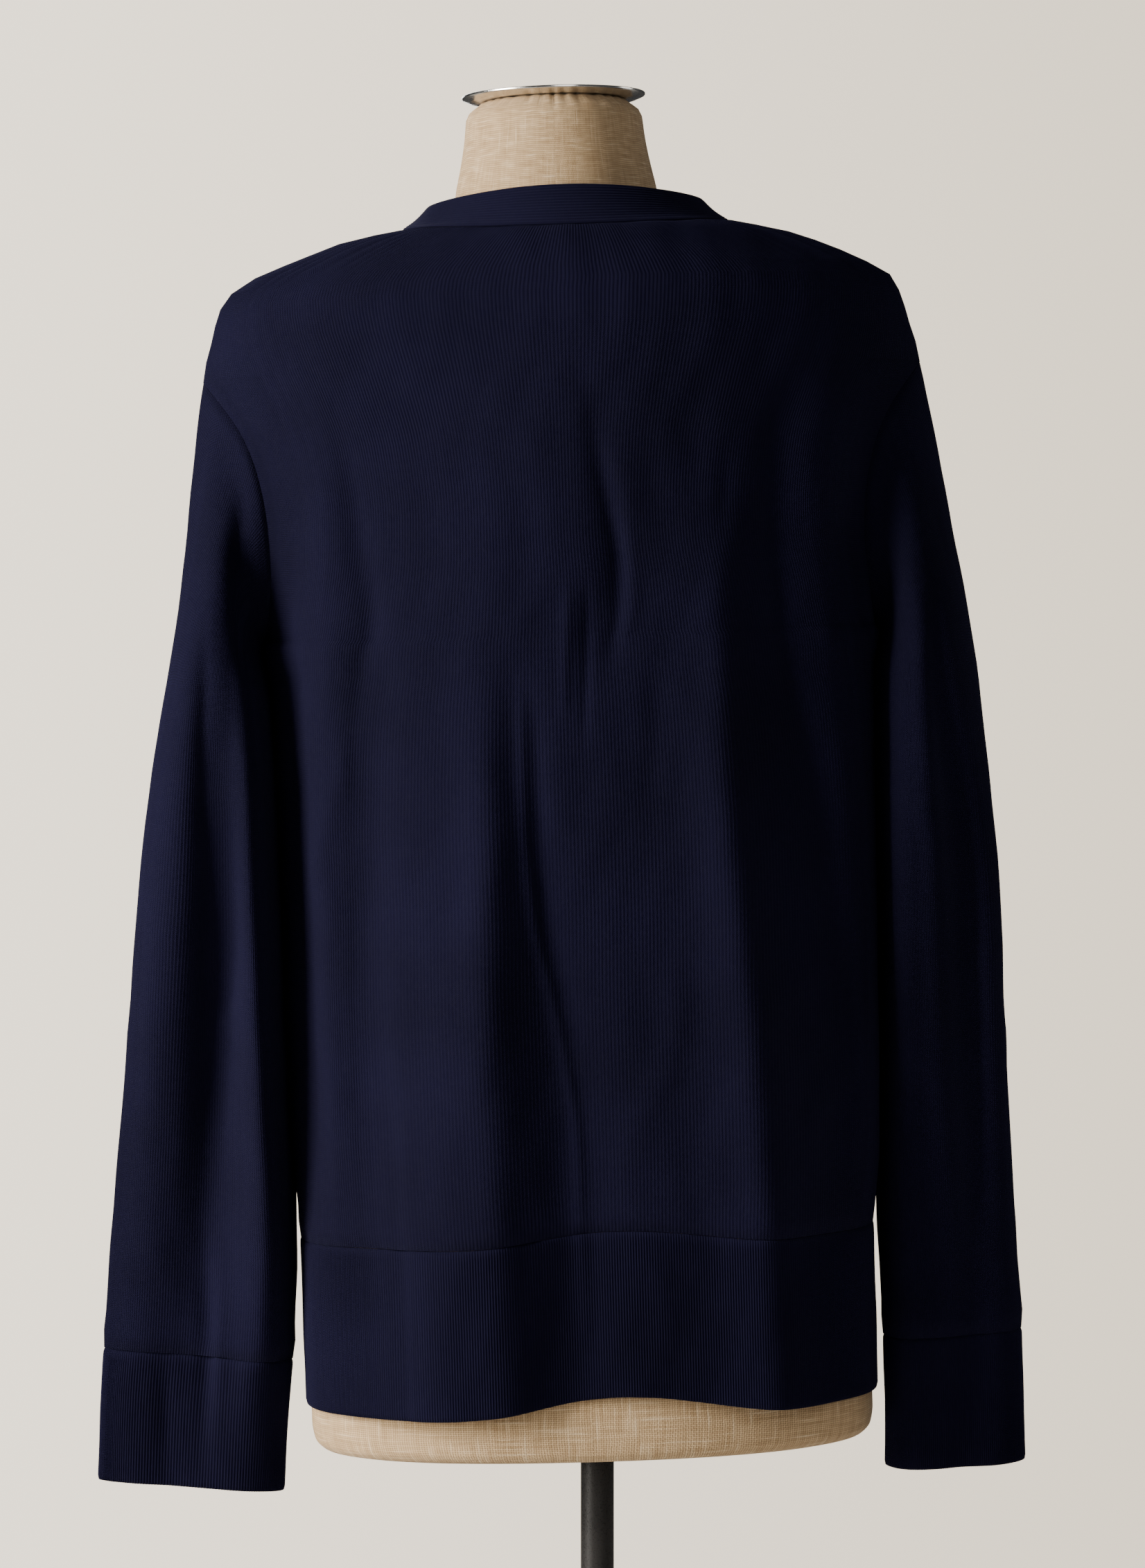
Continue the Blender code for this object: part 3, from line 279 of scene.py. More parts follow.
SLEEVE_STROKES = {
    "left": table(
        "side " + STROKE,
        (1, -6, 1345, -26, 1130, 4, 10, -9), (1, -8, 1240, -12, 840, 2, 9, -6.5),
        (1, 11, 1220, 13, 840, 2, 10, 5), (1, 23, 1260, 38, 770, 3, 13, 8.5),
        (1, 12, 1290, 6, 1080, 3, 5, -2.2), (1, 3, 1240, -4, 950, 2, 5.5, 1.8),
        (1, 2, 1080, 0, 830, 2, 6, -1.4), (1, -28, 1130, 6, 1090, 4, 7, 1.4),
        (1, 34, 1040, 4, 1005, -3, 7, 1.2), (1, -30, 990, 8, 950, 3, 7, 1.2),
        (1, 40, 920, 6, 880, -4, 8, -1.1), (1, 2, 860, -6, 670, 4, 6, -3.2),
        (1, -9, 850, -14, 700, 3, 5.5, 2), (1, 24, 790, 14, 670, 2, 6, -1.6),
        (-1, -32, 1100, 6, 1055, 5, 7, -2), (-1, -30, 1060, 12, 1035, 5, 7, 1.8),
        (-1, 36, 1020, -2, 980, -4, 7, -1.5), (-1, -4, 1000, 4, 800, 4, 8, 1.4),
        (-1, 6, 1270, -6, 1130, 4, 8, -1.6)),
    "right": table(
        "side " + STROKE,
        (1, -10, 1340, -24, 1150, 4, 9, -5), (1, 25, 1300, 31, 790, 2, 8, 8.5),
        (1, 8, 1290, 6, 1050, 2, 5.5, -2.4), (1, 18, 1230, 16, 980, 2, 6, 1.6),
        (1, 4, 1120, 3, 820, 2, 6.5, -1.2), (1, -24, 1100, 6, 1070, 4, 7, 1.3),
        (1, 30, 1010, 4, 975, -3, 7, 1.2), (1, -30, 950, 4, 910, 3, 8, 1.1),
        (1, 32, 870, 2, 840, -4, 8, -1), (-1, -26, 1090, 6, 1050, 5, 7, -2),
        (-1, -28, 1050, 12, 1020, 5, 7, 1.8), (-1, 32, 990, -2, 950, -4, 8, -1.4),
        (-1, -2, 980, 2, 800, 4, 9, 1.4), (-1, 4, 1270, -6, 1120, 4, 8, -1.6)),
}

# How far round from the middle the wales spread before the armhole cuts into them
WALE_SPAN = table(
    "z degrees",
    (1080, 90), (1140, 87), (1190, 80.5), (1215, 76.5), (1245, 71.5), (1270, 70), (1300, 71),
    (1330, 75.5), (1347, 79), (1370, 84.5), (1400, 90))


# ---- curves and surfaces ----
def smooth_step(low, high, value):
    """0 below low and 1 above high; between them three t squared less two t cubed."""
    t = np.clip((value - low) / (high - low), 0.0, 1.0)
    return t * t * (3 - 2 * t)


def bell(away, half_width):
    """e to the minus square of a distance, counted in half widths."""
    return np.exp(-(away / half_width) ** 2)


def unit(v):
    return v / np.maximum(np.linalg.norm(v, axis=-1, keepdims=True), 1e-12)


def hermite(t, start, leave, arrive, end):
    """A cubic from start to end, which leaves and arrives at the given speeds."""
    return ((1 + 2 * t) * (1 - t) ** 2 * start + t * (1 - t) ** 2 * leave
            + t ** 2 * (3 - 2 * t) * end + t ** 2 * (t - 1) * arrive)


def read(rows, name, z):
    """A column of a table at the heights z, by cubics that never overshoot the rows."""
    order = np.argsort(rows["z"])
    zs, values = rows["z"][order], rows[name][order]
    steps = np.diff(zs)
    slopes = np.diff(values) / steps
    below, above = slopes[:-1], slopes[1:]
    with np.errstate(divide="ignore", invalid="ignore"):
        inner = np.where(below * above > 0, 2 * above * below / (above + below), 0.0)
    speeds = np.concatenate([slopes[:1], inner, slopes[-1:]])
    z = np.clip(z, zs[0], zs[-1])
    i = np.clip(np.searchsorted(zs, z) - 1, 0, len(zs) - 2)
    return hermite((z - zs[i]) / steps[i], values[i], steps[i] * speeds[i],
                   steps[i] * speeds[i + 1], values[i + 1])


def oval(angle, boxiness):
    """Sine and cosine of an oval between an ellipse (2) and a box (more than 2)."""
    s, c = np.sin(angle), np.cos(angle)
    k = (np.abs(s) ** boxiness + np.abs(c) ** boxiness) ** (-1 / boxiness)
    return s * k, c * k


def level_oval(rows, z, angle):
    """An oval's sine and cosine by a table with a boxiness, and its depth on either side."""
    s, c = oval(angle, read(rows, "boxiness", z))
    return s, c, np.where(c > 0, read(rows, "back", z), read(rows, "front", z))


def along_ways(folds, x, z):
    """The sum of folds: each is its height at z times a bell across its way."""
    return sum(read(way, "height", z) * bell(x - read(way, "x", z), read(way, "half_width", z))
               for way in folds)


def body(z, angle):
    """The garment's middle surface. Angle 0 is the middle of the back, +90 degrees the left side
    seam and 180 degrees the middle of the front. The lowest rows follow the uneven hem."""
    z, angle = np.broadcast_arrays(np.asarray(z, float), np.asarray(angle, float))
    s, c, depth = level_oval(BODY, z, angle)
    mid = read(BODY, "mid_width", z)
    half_width = mid + (read(BODY, "half_width", z) - mid) * s ** SIDE_POWER
    x = read(BODY, "shift", z) + half_width * s
    behind = smooth_step(-FOLD_BLEND, FOLD_BLEND, c)
    fold = behind * along_ways(BACK_FOLDS, x, z) + (1 - behind) * along_ways(FRONT_FOLDS, x, z)
    fold = fold * smooth_step(0.0, FOLD_FADE, np.abs(c))
    lift = HEM_LIFT * behind * bell(x - HEM_LIFT_X, HEM_LIFT_HALF_WIDTH)
    lift = lift * (1 - smooth_step(HEM_Z, HEM_LIFT_TOP_Z, z))
    return np.stack([x, SEAM_Y + depth * c + fold * np.sign(c), z + lift], axis=-1)


def body_normal(z, angle):
    """Outward normal of the body's surface, from points just beside."""
    dz, turn = 0.0004, 0.003
    return unit(np.cross(body(z + dz, angle) - body(z - dz, angle),
                         body(z, angle + turn) - body(z, angle - turn)))


def ring_angle(z, y, side):
    """The body's angle where its surface passes through (z, y) on one side."""
    depth = np.where(y > SEAM_Y, read(BODY, "back", z), read(BODY, "front", z))
    n = read(BODY, "boxiness", z)
    c = (y - SEAM_Y) / depth
    return side * np.arctan2((1 - np.abs(c) ** n) ** (1 / n), c)


RING_MIDDLE_Z = (RING_TOP_Z + RING_BOTTOM_Z) / 2
RING_HALF_HEIGHT = (RING_TOP_Z - RING_BOTTOM_Z) / 2


def ring_z_angle(turn, side):
    """Height and body angle of the armhole at a turn: 0 at the top, 90 degrees behind."""
    z = RING_MIDDLE_Z + RING_HALF_HEIGHT * np.cos(turn)
    return z, ring_angle(z, SEAM_Y + RING_HALF_DEPTH * np.sin(turn), side)


def sleeve_section(z, turn, side):
    """A level section of a sleeve, hollowed behind; turn 0 is its outer side, 90 degrees behind."""
    z, turn = np.broadcast_arrays(np.asarray(z, float), np.asarray(turn, float))
    outer, inner, middle_y, half_depth, boxiness, hollow, hollow_at, rise, tuck, crest, crest_at = (
        read(SLEEVES[side], name, z) for name in list(SLEEVES[side])[1:])
    back, out = oval(turn, boxiness)
    x = (outer + inner) / 2 + (outer - inner) / 2 * out
    hollow = hollow * bell(out - hollow_at, HOLLOW_WIDTH) * smooth_step(0.1, 0.8, back)
    tuck = tuck * ((1 - out) / 2) ** 2 * (1 - smooth_step(0.0, 0.7, back))
    crest = crest * bell(out - crest_at, CREST_WIDTH) * smooth_step(0.1, 0.6, back)
    y = middle_y + half_depth * back - hollow - tuck + crest
    return np.stack([x, y, z + rise * (x - (outer + inner) / 2)], axis=-1)


def sleeve(v, turn, side):
    """A sleeve's middle surface. From v = 0 at the armhole to 1 it bends from the ring to the
    first level section along Hermite curves; from 1 on, v - 1 is the way down the table."""
    sign = SIGN[side]
    top_z, low_z = SLEEVES[side]["z"][[0, -1]]
    v, turn = np.broadcast_arrays(np.asarray(v, float), np.asarray(turn, float))
    ring = body(*ring_z_angle(turn, sign)) * [sign, 1, 1]
    first = sleeve_section(top_z, turn, side)
    below = sleeve_section(top_z - 0.004, turn, side)
    reach = np.linalg.norm(first - ring, axis=-1, keepdims=True)
    share = ((1 + np.cos(turn)) / 2)[..., None]
    out = np.stack([UNDERARM_LEAVE[0] + 0 * turn, UNDERARM_LEAVE[1] * np.sin(turn),
                    UNDERARM_LEAVE[2] + 0 * turn], axis=-1)
    leave = unit(share * SHOULDER_LEAVE + (1 - share) * out) * reach * LEAVE_PULL
    bend = hermite(np.clip(v, 0, 1)[..., None], ring, leave, unit(below - first) * reach, first)
    down = sleeve_section(top_z + (low_z - top_z) * np.clip(v - 1, 0, 1), turn, side)
    return np.where(v[..., None] <= 1, bend, down) * [sign, 1, 1]


def sleeve_normal(v, turn, side):
    """Outward normal of a sleeve's surface, from points just beside."""
    step = 0.004
    along = sleeve(v + step, turn, side) - sleeve(np.maximum(v - step, 0), turn, side)
    round_ = sleeve(v, turn + step, side) - sleeve(v, turn - step, side)
    return unit(np.cross(along, round_)) * SIGN[side]


def sleeve_v(z, side):
    """The v of a level section at a height."""
    top_z, low_z = SLEEVES[side]["z"][[0, -1]]
    return 1 + (top_z - z) / (top_z - low_z)


def lean(points):
    """Tip the upright drawing about the middle of the torso's underside."""
    x, y, z = points[..., 0], points[..., 1], points[..., 2] - FORM_FOOT_Z
    return np.stack([FORM_FOOT_X + x * math.cos(LEAN) + z * math.sin(LEAN), y,
                     FORM_FOOT_Z - x * math.sin(LEAN) + z * math.cos(LEAN)], axis=-1)


def long_creases(x, z):
    """The long creases, each begun softly over 10 mm from its lowest row."""
    return sum(along_ways([way], x, z) * smooth_step(way["z"].min(), way["z"].min() + 0.01, z)
               for way in LONG_CREASES)


def strokes(rows, x, z):
    """The sum of bowed strokes: along each chord t runs 0 to 1, across it a bell about the bow's
    parabola 4 t (1 - t), fading in and out as the sine squared of pi t."""
    total = np.zeros(np.shape(x))
    for x0, z0, x1, z1, bow, half_width, height in zip(*(rows[name] for name in STROKE.split())):
        dx, dz = x1 - x0, z1 - z0
        long = math.hypot(dx, dz)
        t = np.clip(((x - x0) * dx + (z - z0) * dz) / long ** 2, 0, 1)
        across = ((x - x0) * dz - (z - z0) * dx) / long - bow * 4 * t * (1 - t)
        total = total + height * bell(across, half_width) * np.sin(math.pi * t) ** 2
    return total


def ripples(x, z, seed):
    """Faint unevenness of worn knit: a few long sine waves with fixed odd slants."""
    total = 0
    for k in range(5):
        turn = seed + 1.7 * k
        slant = 0.35 * math.sin(turn)
        wave = (x * math.cos(slant) + z * math.sin(slant)) / (0.017 + 0.009 * k)
        sway = 2.2 * np.sin(2 * math.pi * z / (0.11 + 0.03 * k) + turn)
        total = total + math.sin(3 * turn) * np.sin(2 * math.pi * wave + turn + sway)
    return total / 5


# ---- meshes ----
KNIT_UV = "cloth"


def lengths(points, axis):
    """Distance run along a grid's axis, averaged over the other one."""
    steps = np.linalg.norm(np.diff(points, axis=axis), axis=-1)
    return np.concatenate([[0.0], np.cumsum(steps.mean(axis=1 - axis))])


def round_lengths(points):
    """The same round a tube, with the last step back to its start as long as the one before."""
    run = lengths(points, 1)
    return np.append(run, 2 * run[-1] - run[-2])


def put_mesh(name, points, faces, look, corner_uv=None):
    """A closed smooth piece with its faces turned outwards, by the sign of its volume."""
    mesh = bpy.data.meshes.new(name)
    mesh.from_pydata(points.tolist(), [], faces)
    mesh.polygons.foreach_set("use_smooth", np.full(len(mesh.polygons), True))
    if corner_uv is not None:
        layer = mesh.uv_layers.new(name=KNIT_UV)
        layer.data.foreach_set("uv", np.asarray(corner_uv, dtype=np.float32).ravel())
    mesh.materials.append(look)
    mesh.calc_loop_triangles()
    corners = np.empty(len(mesh.loop_triangles) * 3, dtype=np.int32)
    mesh.loop_triangles.foreach_get("vertices", corners)
    a, b, c = points[corners.reshape(-1, 3).T]
    if np.einsum("ij,ij->i", a, np.cross(b, c)).sum() < 0:
        mesh.flip_normals()
    made = bpy.data.objects.new(name, mesh)
    bpy.context.collection.objects.link(made)
    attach(made, "root")
    return made


def corners_at(first, count, repeat, i, j):
    """Corners at row i and column j of a grid of count columns: their vertices, counted round the
    grid, and their flat places by column and row."""
    return np.stack(np.broadcast_arrays(first + i * count + j % count, j * repeat, i), axis=-1)


def cells(rows, steps, *grid):
    """The corners of all cells of a grid with so many steps across."""
    i = np.arange(rows - 1)[:, None, None] + [0, 0, 1, 1]
    j = np.arange(steps)[:, None] + [0, 1, 1, 0]
    return corners_at(*grid, i, j).reshape(-1, 4, 3)


def cloth_wall(name, outer, inner, look, across, down, tube=False):
    """A closed wall between two grids with the same rows, where the outer one may have a whole
    number of times as many columns. across and down are the outer grid's flat coordinates."""
    rows, fine = outer.shape[:2]
    coarse = inner.shape[1]
    steps = coarse if tube else coarse - 1
    times = (fine if tube else fine - 1) // steps
    outside, inside = (0, fine, 1), (rows * fine, coarse, times)
    faces = [cells(rows, steps * times, *outside), cells(rows, steps, *inside)[:, ::-1]]
    j = np.arange(steps)[:, None]
    for row in (0, rows - 1):
        rim = np.concatenate([corners_at(*outside, row, j * times + np.arange(times + 1)),
                              corners_at(*inside, row, j + [1, 0])], axis=1)
        faces.append(rim if row else rim[:, ::-1])
    if not tube:
        i = np.arange(rows - 1)[:, None]
        for j in (0, steps):
            edge = np.concatenate([corners_at(*outside, i + [0, 1], j * times),
                                   corners_at(*inside, i + [1, 0], j)], axis=1)
            faces.append(edge[:, ::-1] if j else edge)
    flat = np.concatenate([part.reshape(-1, 3) for part in faces])
    return put_mesh(name, lean(np.concatenate([outer.reshape(-1, 3), inner.reshape(-1, 3)])),
                    [face for part in faces for face in part[..., 0].tolist()], look,
                    np.stack([across[flat[:, 1]], down[flat[:, 2]]], axis=-1))


def rings(name, points, look, tipped=True):
    """A closed piece of rings of points, fanned shut at both ends."""
    rows, cols = points.shape[:2]
    ends = points[[0, -1]].mean(axis=1)
    points = np.concatenate([points.reshape(-1, 3), ends])
    j = np.arange(cols)
    k = (j + 1) % cols
    low, last = rows * cols, (rows - 1) * cols
    fans = np.concatenate([np.stack([k, j, 0 * j + low], -1),
                           np.stack([last + j, last + k, 0 * j + low + 1], -1)])
    quads = cells(rows, cols, 0, cols, 1)[..., 0]
    return put_mesh(name, lean(points) if tipped else points, quads.tolist() + fans.tolist(), look)


# ---- the knit's grid and relief ----
BACK_WALES = 264
FRONT_WALES = 132
SLEEVE_WALES = 216
HEM_RIBS_BACK = 350
HEM_RIBS_FRONT = 164
CUFF_RIBS = 196
BAND_RIBS = 14
PER_RIB = 4                   # columns of the mesh in each wale or rib
WALE_HEIGHT = 0.00018
RIB_HEIGHT = 0.00034
BAND_RIB_HEIGHT = RIB_HEIGHT * 0.7
BAND_HEM_ROWS = 11            # the neck band's rows beside a hem rib, up a front, round the neck
BAND_FRONT_ROWS = (26, 16, 18)
BAND_NECK_ROWS = 123
LOW_ROWS = 40
UNDERARM_ROW = 0.0032         # from the armholes' lowest point down to the next row
RING_ROWS = 28
SHOULDER_ROWS = 12
SLEEVE_CAP_ROWS = 16
SLEEVE_DOWN_ROWS = 38
RIB_ROWS = 15
CUFF_ROWS = 12
SEAM_DIP = 0.0005             # how far cloth sinks at a sewn edge
NECK_DIP = 1.5                # of that, under the neck band
RIB_DIP = 0.3                 # of that, where plain knit meets a rib
SEAM_DIP_WIDTH = 0.0035
RIPPLE_HEIGHT = 0.0007
FRONT_RIPPLE_HEIGHT = 0.0009
PANEL_SWELL = (0.0007, 0.010)   # height and half width of the swell over a drawn-in rib
SLEEVE_SWELL = (0.0008, 0.009)
SWELL_AT = 0.010              # its middle, from the rib
SLEEVE_FACE_Y = -0.002        # strokes behind this plane and before it are apart
HEM_RADIUS = 0.11             # a mean one, which turns the side seams' gap into an angle
HEM_COLUMN = 0.00033          # mean width of a hem rib's column of the mesh
RIB_STRETCH = 0.62            # a worn rib's width, flat, for its drawn width


def ridges(count, height, phase=0.0):
    """Heights of count ridges, PER_RIB columns each: a cosine, one wave a ridge."""
    return height * np.cos(2 * math.pi * (np.arange(count * PER_RIB + 1) / PER_RIB + phase))


def rib_ridges(count, from_seam):
    """A rib's ridges, which grow over 4 mm from the seam above."""
    return ridges(count, RIB_HEIGHT) * (0.35 + 0.65 * smooth_step(0, 0.004, from_seam)[:, None])


def ring_turns(steps):
    """Turns of the armhole from its lowest point up to its top, on the side behind."""
    return np.linspace(math.pi, 0, steps + 1)


def body_rows(low_rows, ring_rows, shoulder_rows):
    """Heights from the hem rib to the neckline: even, then spaced as the armhole's turns, then
    closer and closer to the neck."""
    low = np.linspace(HEM_RIB_TOP_Z + SEAM_GAP / 2, RING_BOTTOM_Z - UNDERARM_ROW, low_rows)
    ring = ring_z_angle(ring_turns(ring_rows), 1)[0]
    share = np.linspace(0, 1, shoulder_rows + 1)[1:]
    top = RING_TOP_Z + (NECK_SIDE_Z - RING_TOP_Z) * (1 - (1 - share) ** 1.7)
    return np.concatenate([low, ring, top])


def seam_frame(turn, side):
    """The armhole seam's points, the mitred half offset of both walls there, and the direction
    across the seam towards the sleeve."""
    sign = SIGN[side]
    z, angle = ring_z_angle(turn, sign)
    point = body(z, angle)
    of_body, of_sleeve = body_normal(z, angle), sleeve_normal(np.zeros_like(turn), turn, side)
    dot = (of_body * of_sleeve).sum(axis=-1, keepdims=True)
    mitre = (of_body + of_sleeve) / np.maximum(1 + dot, 0.45) * JERSEY / 2
    after, before = (body(*ring_z_angle(turn + step, sign)) for step in (0.01, -0.01))
    across = unit(np.cross(unit(after - before), unit(mitre)))
    away = sleeve(np.full_like(turn, 0.05), turn, side) - point
    return point, mitre, across * np.sign((across * away).sum(axis=-1, keepdims=True))


def seam_half_angle(z, facing):
    """Where a panel ends at the side: the side seam, the armhole's oval or the shoulder seam."""
    share = np.clip((z - RING_MIDDLE_Z) / RING_HALF_HEIGHT, -1, 1)
    return ring_angle(z, SEAM_Y + facing * RING_HALF_DEPTH * np.sqrt(1 - share ** 2), 1)


def wale_angles(z, q, end):
    """Body angles of the wales: from end, at q = 0, they spread evenly and smoothly to the side,
    and only the outermost follow the armhole's edge, by the ninth power of q."""
    facing = 1 if abs(end[0]) < 1e-9 else -1
    smooth = np.radians(read(WALE_SPAN, "degrees", z))
    if facing < 0:
        smooth = math.pi - smooth
    follow = np.sign(q) * np.abs(q) ** 9
    return end[:, None] + (smooth - end)[:, None] * q + (
        seam_half_angle(z, facing) - smooth)[:, None] * follow


def seat_ring_edge(middle, half, z, column, side, facing, next_column):
    """Move a panel's edge beside the armhole onto its side of the seam, with the mitred offset;
    elsewhere draw the edge back from the seam by half the gap."""
    turns = ring_turns(RING_ROWS)
    ring_z = ring_z_angle(turns, 1)[0]
    inwards = unit(middle[:, next_column] - middle[:, column])
    middle[:, column] += inwards * SEAM_GAP / 2
    point, mitre, across = seam_frame(turns * facing, side)
    for k, row_z in enumerate(ring_z):
        i = np.argmin(np.abs(z - row_z))
        middle[i, column] = point[k] - across[k] * SEAM_GAP / 2
        if k in (0, RING_ROWS):
            middle[i, column] += inwards[i] * SEAM_GAP / 2
        half[i, column] = mitre[k]


def swell(from_rib, size):
    """How far plain knit swells out beside a rib that draws it in."""
    height, half_width = size
    return height * bell(from_rib - SWELL_AT, half_width)


def edge_dip(distance):
    """How far cloth sinks towards a sewn edge, at a distance from it."""
    return -SEAM_DIP * (1 - smooth_step(0.0, SEAM_DIP_WIDTH, distance))


def knit_panel(name, z, angle, look, creases, seats, wales, level=0):
    """A panel of plain knit: the body's surface at heights z and angles, with creases and wales
    along its normal. level moves its rows where the neckline dips."""
    rows = z[:, None] + 0 * angle + level
    middle = body(rows, angle)
    normal = body_normal(rows, angle)
    half = normal * JERSEY / 2
    width = np.linalg.norm(np.diff(middle, axis=1), axis=-1).mean()
    count = middle.shape[1]
    inwards = np.minimum(np.arange(count), np.arange(count)[::-1]) * width
    down = lengths(middle, 0)
    level_swell = swell(down, PANEL_SWELL)[:, None]
    fade = smooth_step(0.0, 0.012, inwards) * smooth_step(0.0, 0.006, down)[:, None]
    relief = (creases(middle[..., 0], middle[..., 2]) + level_swell) * fade
    relief = relief + edge_dip(inwards) + RIB_DIP * edge_dip(down)[:, None]
    relief = relief + NECK_DIP * edge_dip(down[-1] - down)[:, None]
    wale = ridges(wales, WALE_HEIGHT) * smooth_step(0.0, 0.002, inwards)
    relief[:, [0, -1]] = wale[[0, -1]] = 0
    for seat in seats:
        seat_ring_edge(middle, half, z, *seat)
    outer = middle + half + normal * (relief + wale)[..., None]
    inner = (middle - half + normal * relief[..., None])[:, ::2 * PER_RIB]
    return cloth_wall(name, outer, inner, look, lengths(middle, 1), down)


def back_creases(x, z):
    """All fine forms of the back: long creases, strokes and ripples."""
    return long_creases(x, z) + strokes(BACK_STROKES, x, z) + RIPPLE_HEIGHT * ripples(x, z, 1.0)


def front_creases(x, z):
    return strokes(FRONT_STROKES, x, z) + FRONT_RIPPLE_HEIGHT * ripples(x, z, 4.0)


def neck_z(angle):
    """Height of the neckline round the back, lowest in the middle."""
    return NECK_BACK_Z + (NECK_SIDE_Z - NECK_BACK_Z) * np.sin(angle) ** 2


def front_edge_angle(z):
    """Angle of a front's free edge, along the front opening and the V."""
    n = read(BODY, "boxiness", z)
    s = np.clip(read(V_EDGE, "offset", z) / read(BODY, "mid_width", z), 0, 0.9999)
    return math.pi - np.arctan2(s, (1 - s ** n) ** (1 / n))


def back_panel(look):
    z = body_rows(LOW_ROWS, RING_ROWS, SHOULDER_ROWS)
    angle = wale_angles(z, np.linspace(-1, 1, BACK_WALES * PER_RIB + 1), 0 * z)
    dip = smooth_step(1.38, NECK_SIDE_Z, z)[:, None] * (neck_z(angle) - NECK_SIDE_Z)
    return knit_panel("knit_back", z, angle, look, back_creases,
                      ((0, "right", 1, 1), (-1, "left", 1, -2)), BACK_WALES, dip)


def front_panel(side, look):
    z = body_rows(LOW_ROWS // 2, RING_ROWS, SHOULDER_ROWS // 2)
    q = np.linspace(1, 0, FRONT_WALES * PER_RIB + 1)
    return knit_panel("knit_front_" + side, z, SIGN[side] * wale_angles(z, q, front_edge_angle(z)),
                      look, front_creases, ((0, side, -1, 1),), FRONT_WALES)


def smooth_ends(steps):
    """Shares from 0 to 1, closer together at both ends."""
    t = np.linspace(0, 1, steps + 1)
    return t - 0.108 * np.sin(2 * math.pi * t)


def rib_half(normal):
    """Half a rib's wall, thinner at its two edges so that they look rounded."""
    t = np.linspace(0, 1, len(normal))
    thick = 0.55 + 0.45 * smooth_step(0, 0.05, np.minimum(t, 1 - t))
    return normal * RIB / 2 * thick[:, None, None]


def hem_rib(name, start, end, ribs, look):
    """A hem rib between two angles of the body, as wide as its panel's lowest row."""
    z = HEM_Z + (HEM_RIB_TOP_Z - SEAM_GAP / 2 - HEM_Z) * smooth_ends(RIB_ROWS)
    pull = SEAM_GAP / 2 / HEM_RADIUS
    angle = np.linspace(start + pull, end - pull, ribs * PER_RIB + 1)
    z, angle = np.meshgrid(z, angle, indexing="ij")
    middle, normal = body(z, angle), body_normal(z, angle)
    down = lengths(middle, 0)
    count = np.arange(angle.shape[1])
    creases = back_creases if abs(start + end) < 1e-6 else front_creases
    fade = smooth_step(0.0, 0.004, np.minimum(count, count[::-1]) * HEM_COLUMN)
    relief = creases(middle[..., 0], middle[..., 2]) * fade + rib_ridges(ribs, down[-1] - down)
    relief = relief + RIB_DIP * edge_dip(down[-1] - down)[:, None]
    middle = middle + normal * relief[..., None]
    half = rib_half(normal)
    return cloth_wall(name, middle + half, middle - half, look,
                      lengths(middle, 1) * RIB_STRETCH, down)


def sleeve_creases(points, side):
    """A sleeve's strokes, by distance from its middle and height, behind and before."""
    rows = SLEEVE_STROKES[side]
    z = points[..., 2]
    middle = (read(SLEEVES[side], "outer", z) + read(SLEEVES[side], "inner", z)) / 2
    x = SIGN[side] * points[..., 0] - middle
    total = RIPPLE_HEIGHT * ripples(x, z, 2.0 if side == "left" else 6.0)
    for face in (1, -1):
        chosen = {name: values[rows["side"] == face] for name, values in rows.items()}
        seen = smooth_step(-0.008, 0.012, face * (points[..., 1] - SLEEVE_FACE_Y))
        total = total + seen * strokes(chosen, x, z)
    return total


def sleeve_grid(v, side, count):
    """A sleeve's middle surface and normals at v and round it, with the turns and the way down."""
    steps = count * PER_RIB
    turn = math.pi - np.arange(steps) * 2 * math.pi / steps
    vs, turns = np.meshgrid(v, turn, indexing="ij")
    middle = sleeve(vs, turns, side)
    return middle, sleeve_normal(vs, turns, side), turn, lengths(middle, 0)


def sleeve_piece(side, look):
    """A sleeve of plain knit from the armhole's seam down to its cuff."""
    v = np.concatenate([np.linspace(0, 1, SLEEVE_CAP_ROWS + 1),
                        np.linspace(1, sleeve_v(CUFF_TOP_Z, side), SLEEVE_DOWN_ROWS + 1)[1:]])
    middle, normal, turn, down = sleeve_grid(v, side, SLEEVE_WALES)
    half = normal * JERSEY / 2
    up = down[-1] - down
    fade = smooth_step(0.0, 0.02, down) * smooth_step(0.0, 0.008, up)
    relief = sleeve_creases(middle, side) * fade[:, None]
    level = swell(up, SLEEVE_SWELL) + edge_dip(down) + RIB_DIP * edge_dip(up)
    relief = relief + level[:, None]
    wale = ridges(SLEEVE_WALES, WALE_HEIGHT)[:-1] * smooth_step(0.0, 0.004, down)[:, None]
    point, mitre, across = seam_frame(turn, side)
    middle[0], half[0] = point + across * SEAM_GAP / 2, mitre
    relief[0] = 0
    outer = middle + half + normal * (relief + wale)[..., None]
    inner = (middle - half + normal * relief[..., None])[:, ::2 * PER_RIB]
    return cloth_wall("knit_sleeve_" + side, outer, inner, look, round_lengths(middle), down, True)


def cuff(side, look):
    """A rib tube that carries the sleeve's surface on to its hem."""
    start, end = sleeve_v(CUFF_TOP_Z - SEAM_GAP, side), sleeve_v(CUFF_HEM_Z, side)
    v = start + (end - start) * smooth_ends(CUFF_ROWS)
    middle, normal, _, down = sleeve_grid(v, side, CUFF_RIBS)
    relief = sleeve_creases(middle, side) + RIB_DIP * edge_dip(down)[:, None]
    middle = middle + normal * (relief + rib_ridges(CUFF_RIBS, down)[:, :-1])[..., None]
    half = rib_half(normal)
    return cloth_wall("rib_cuff_" + side, middle + half, middle - half, look,
                      round_lengths(middle) * RIB_STRETCH, down, True)


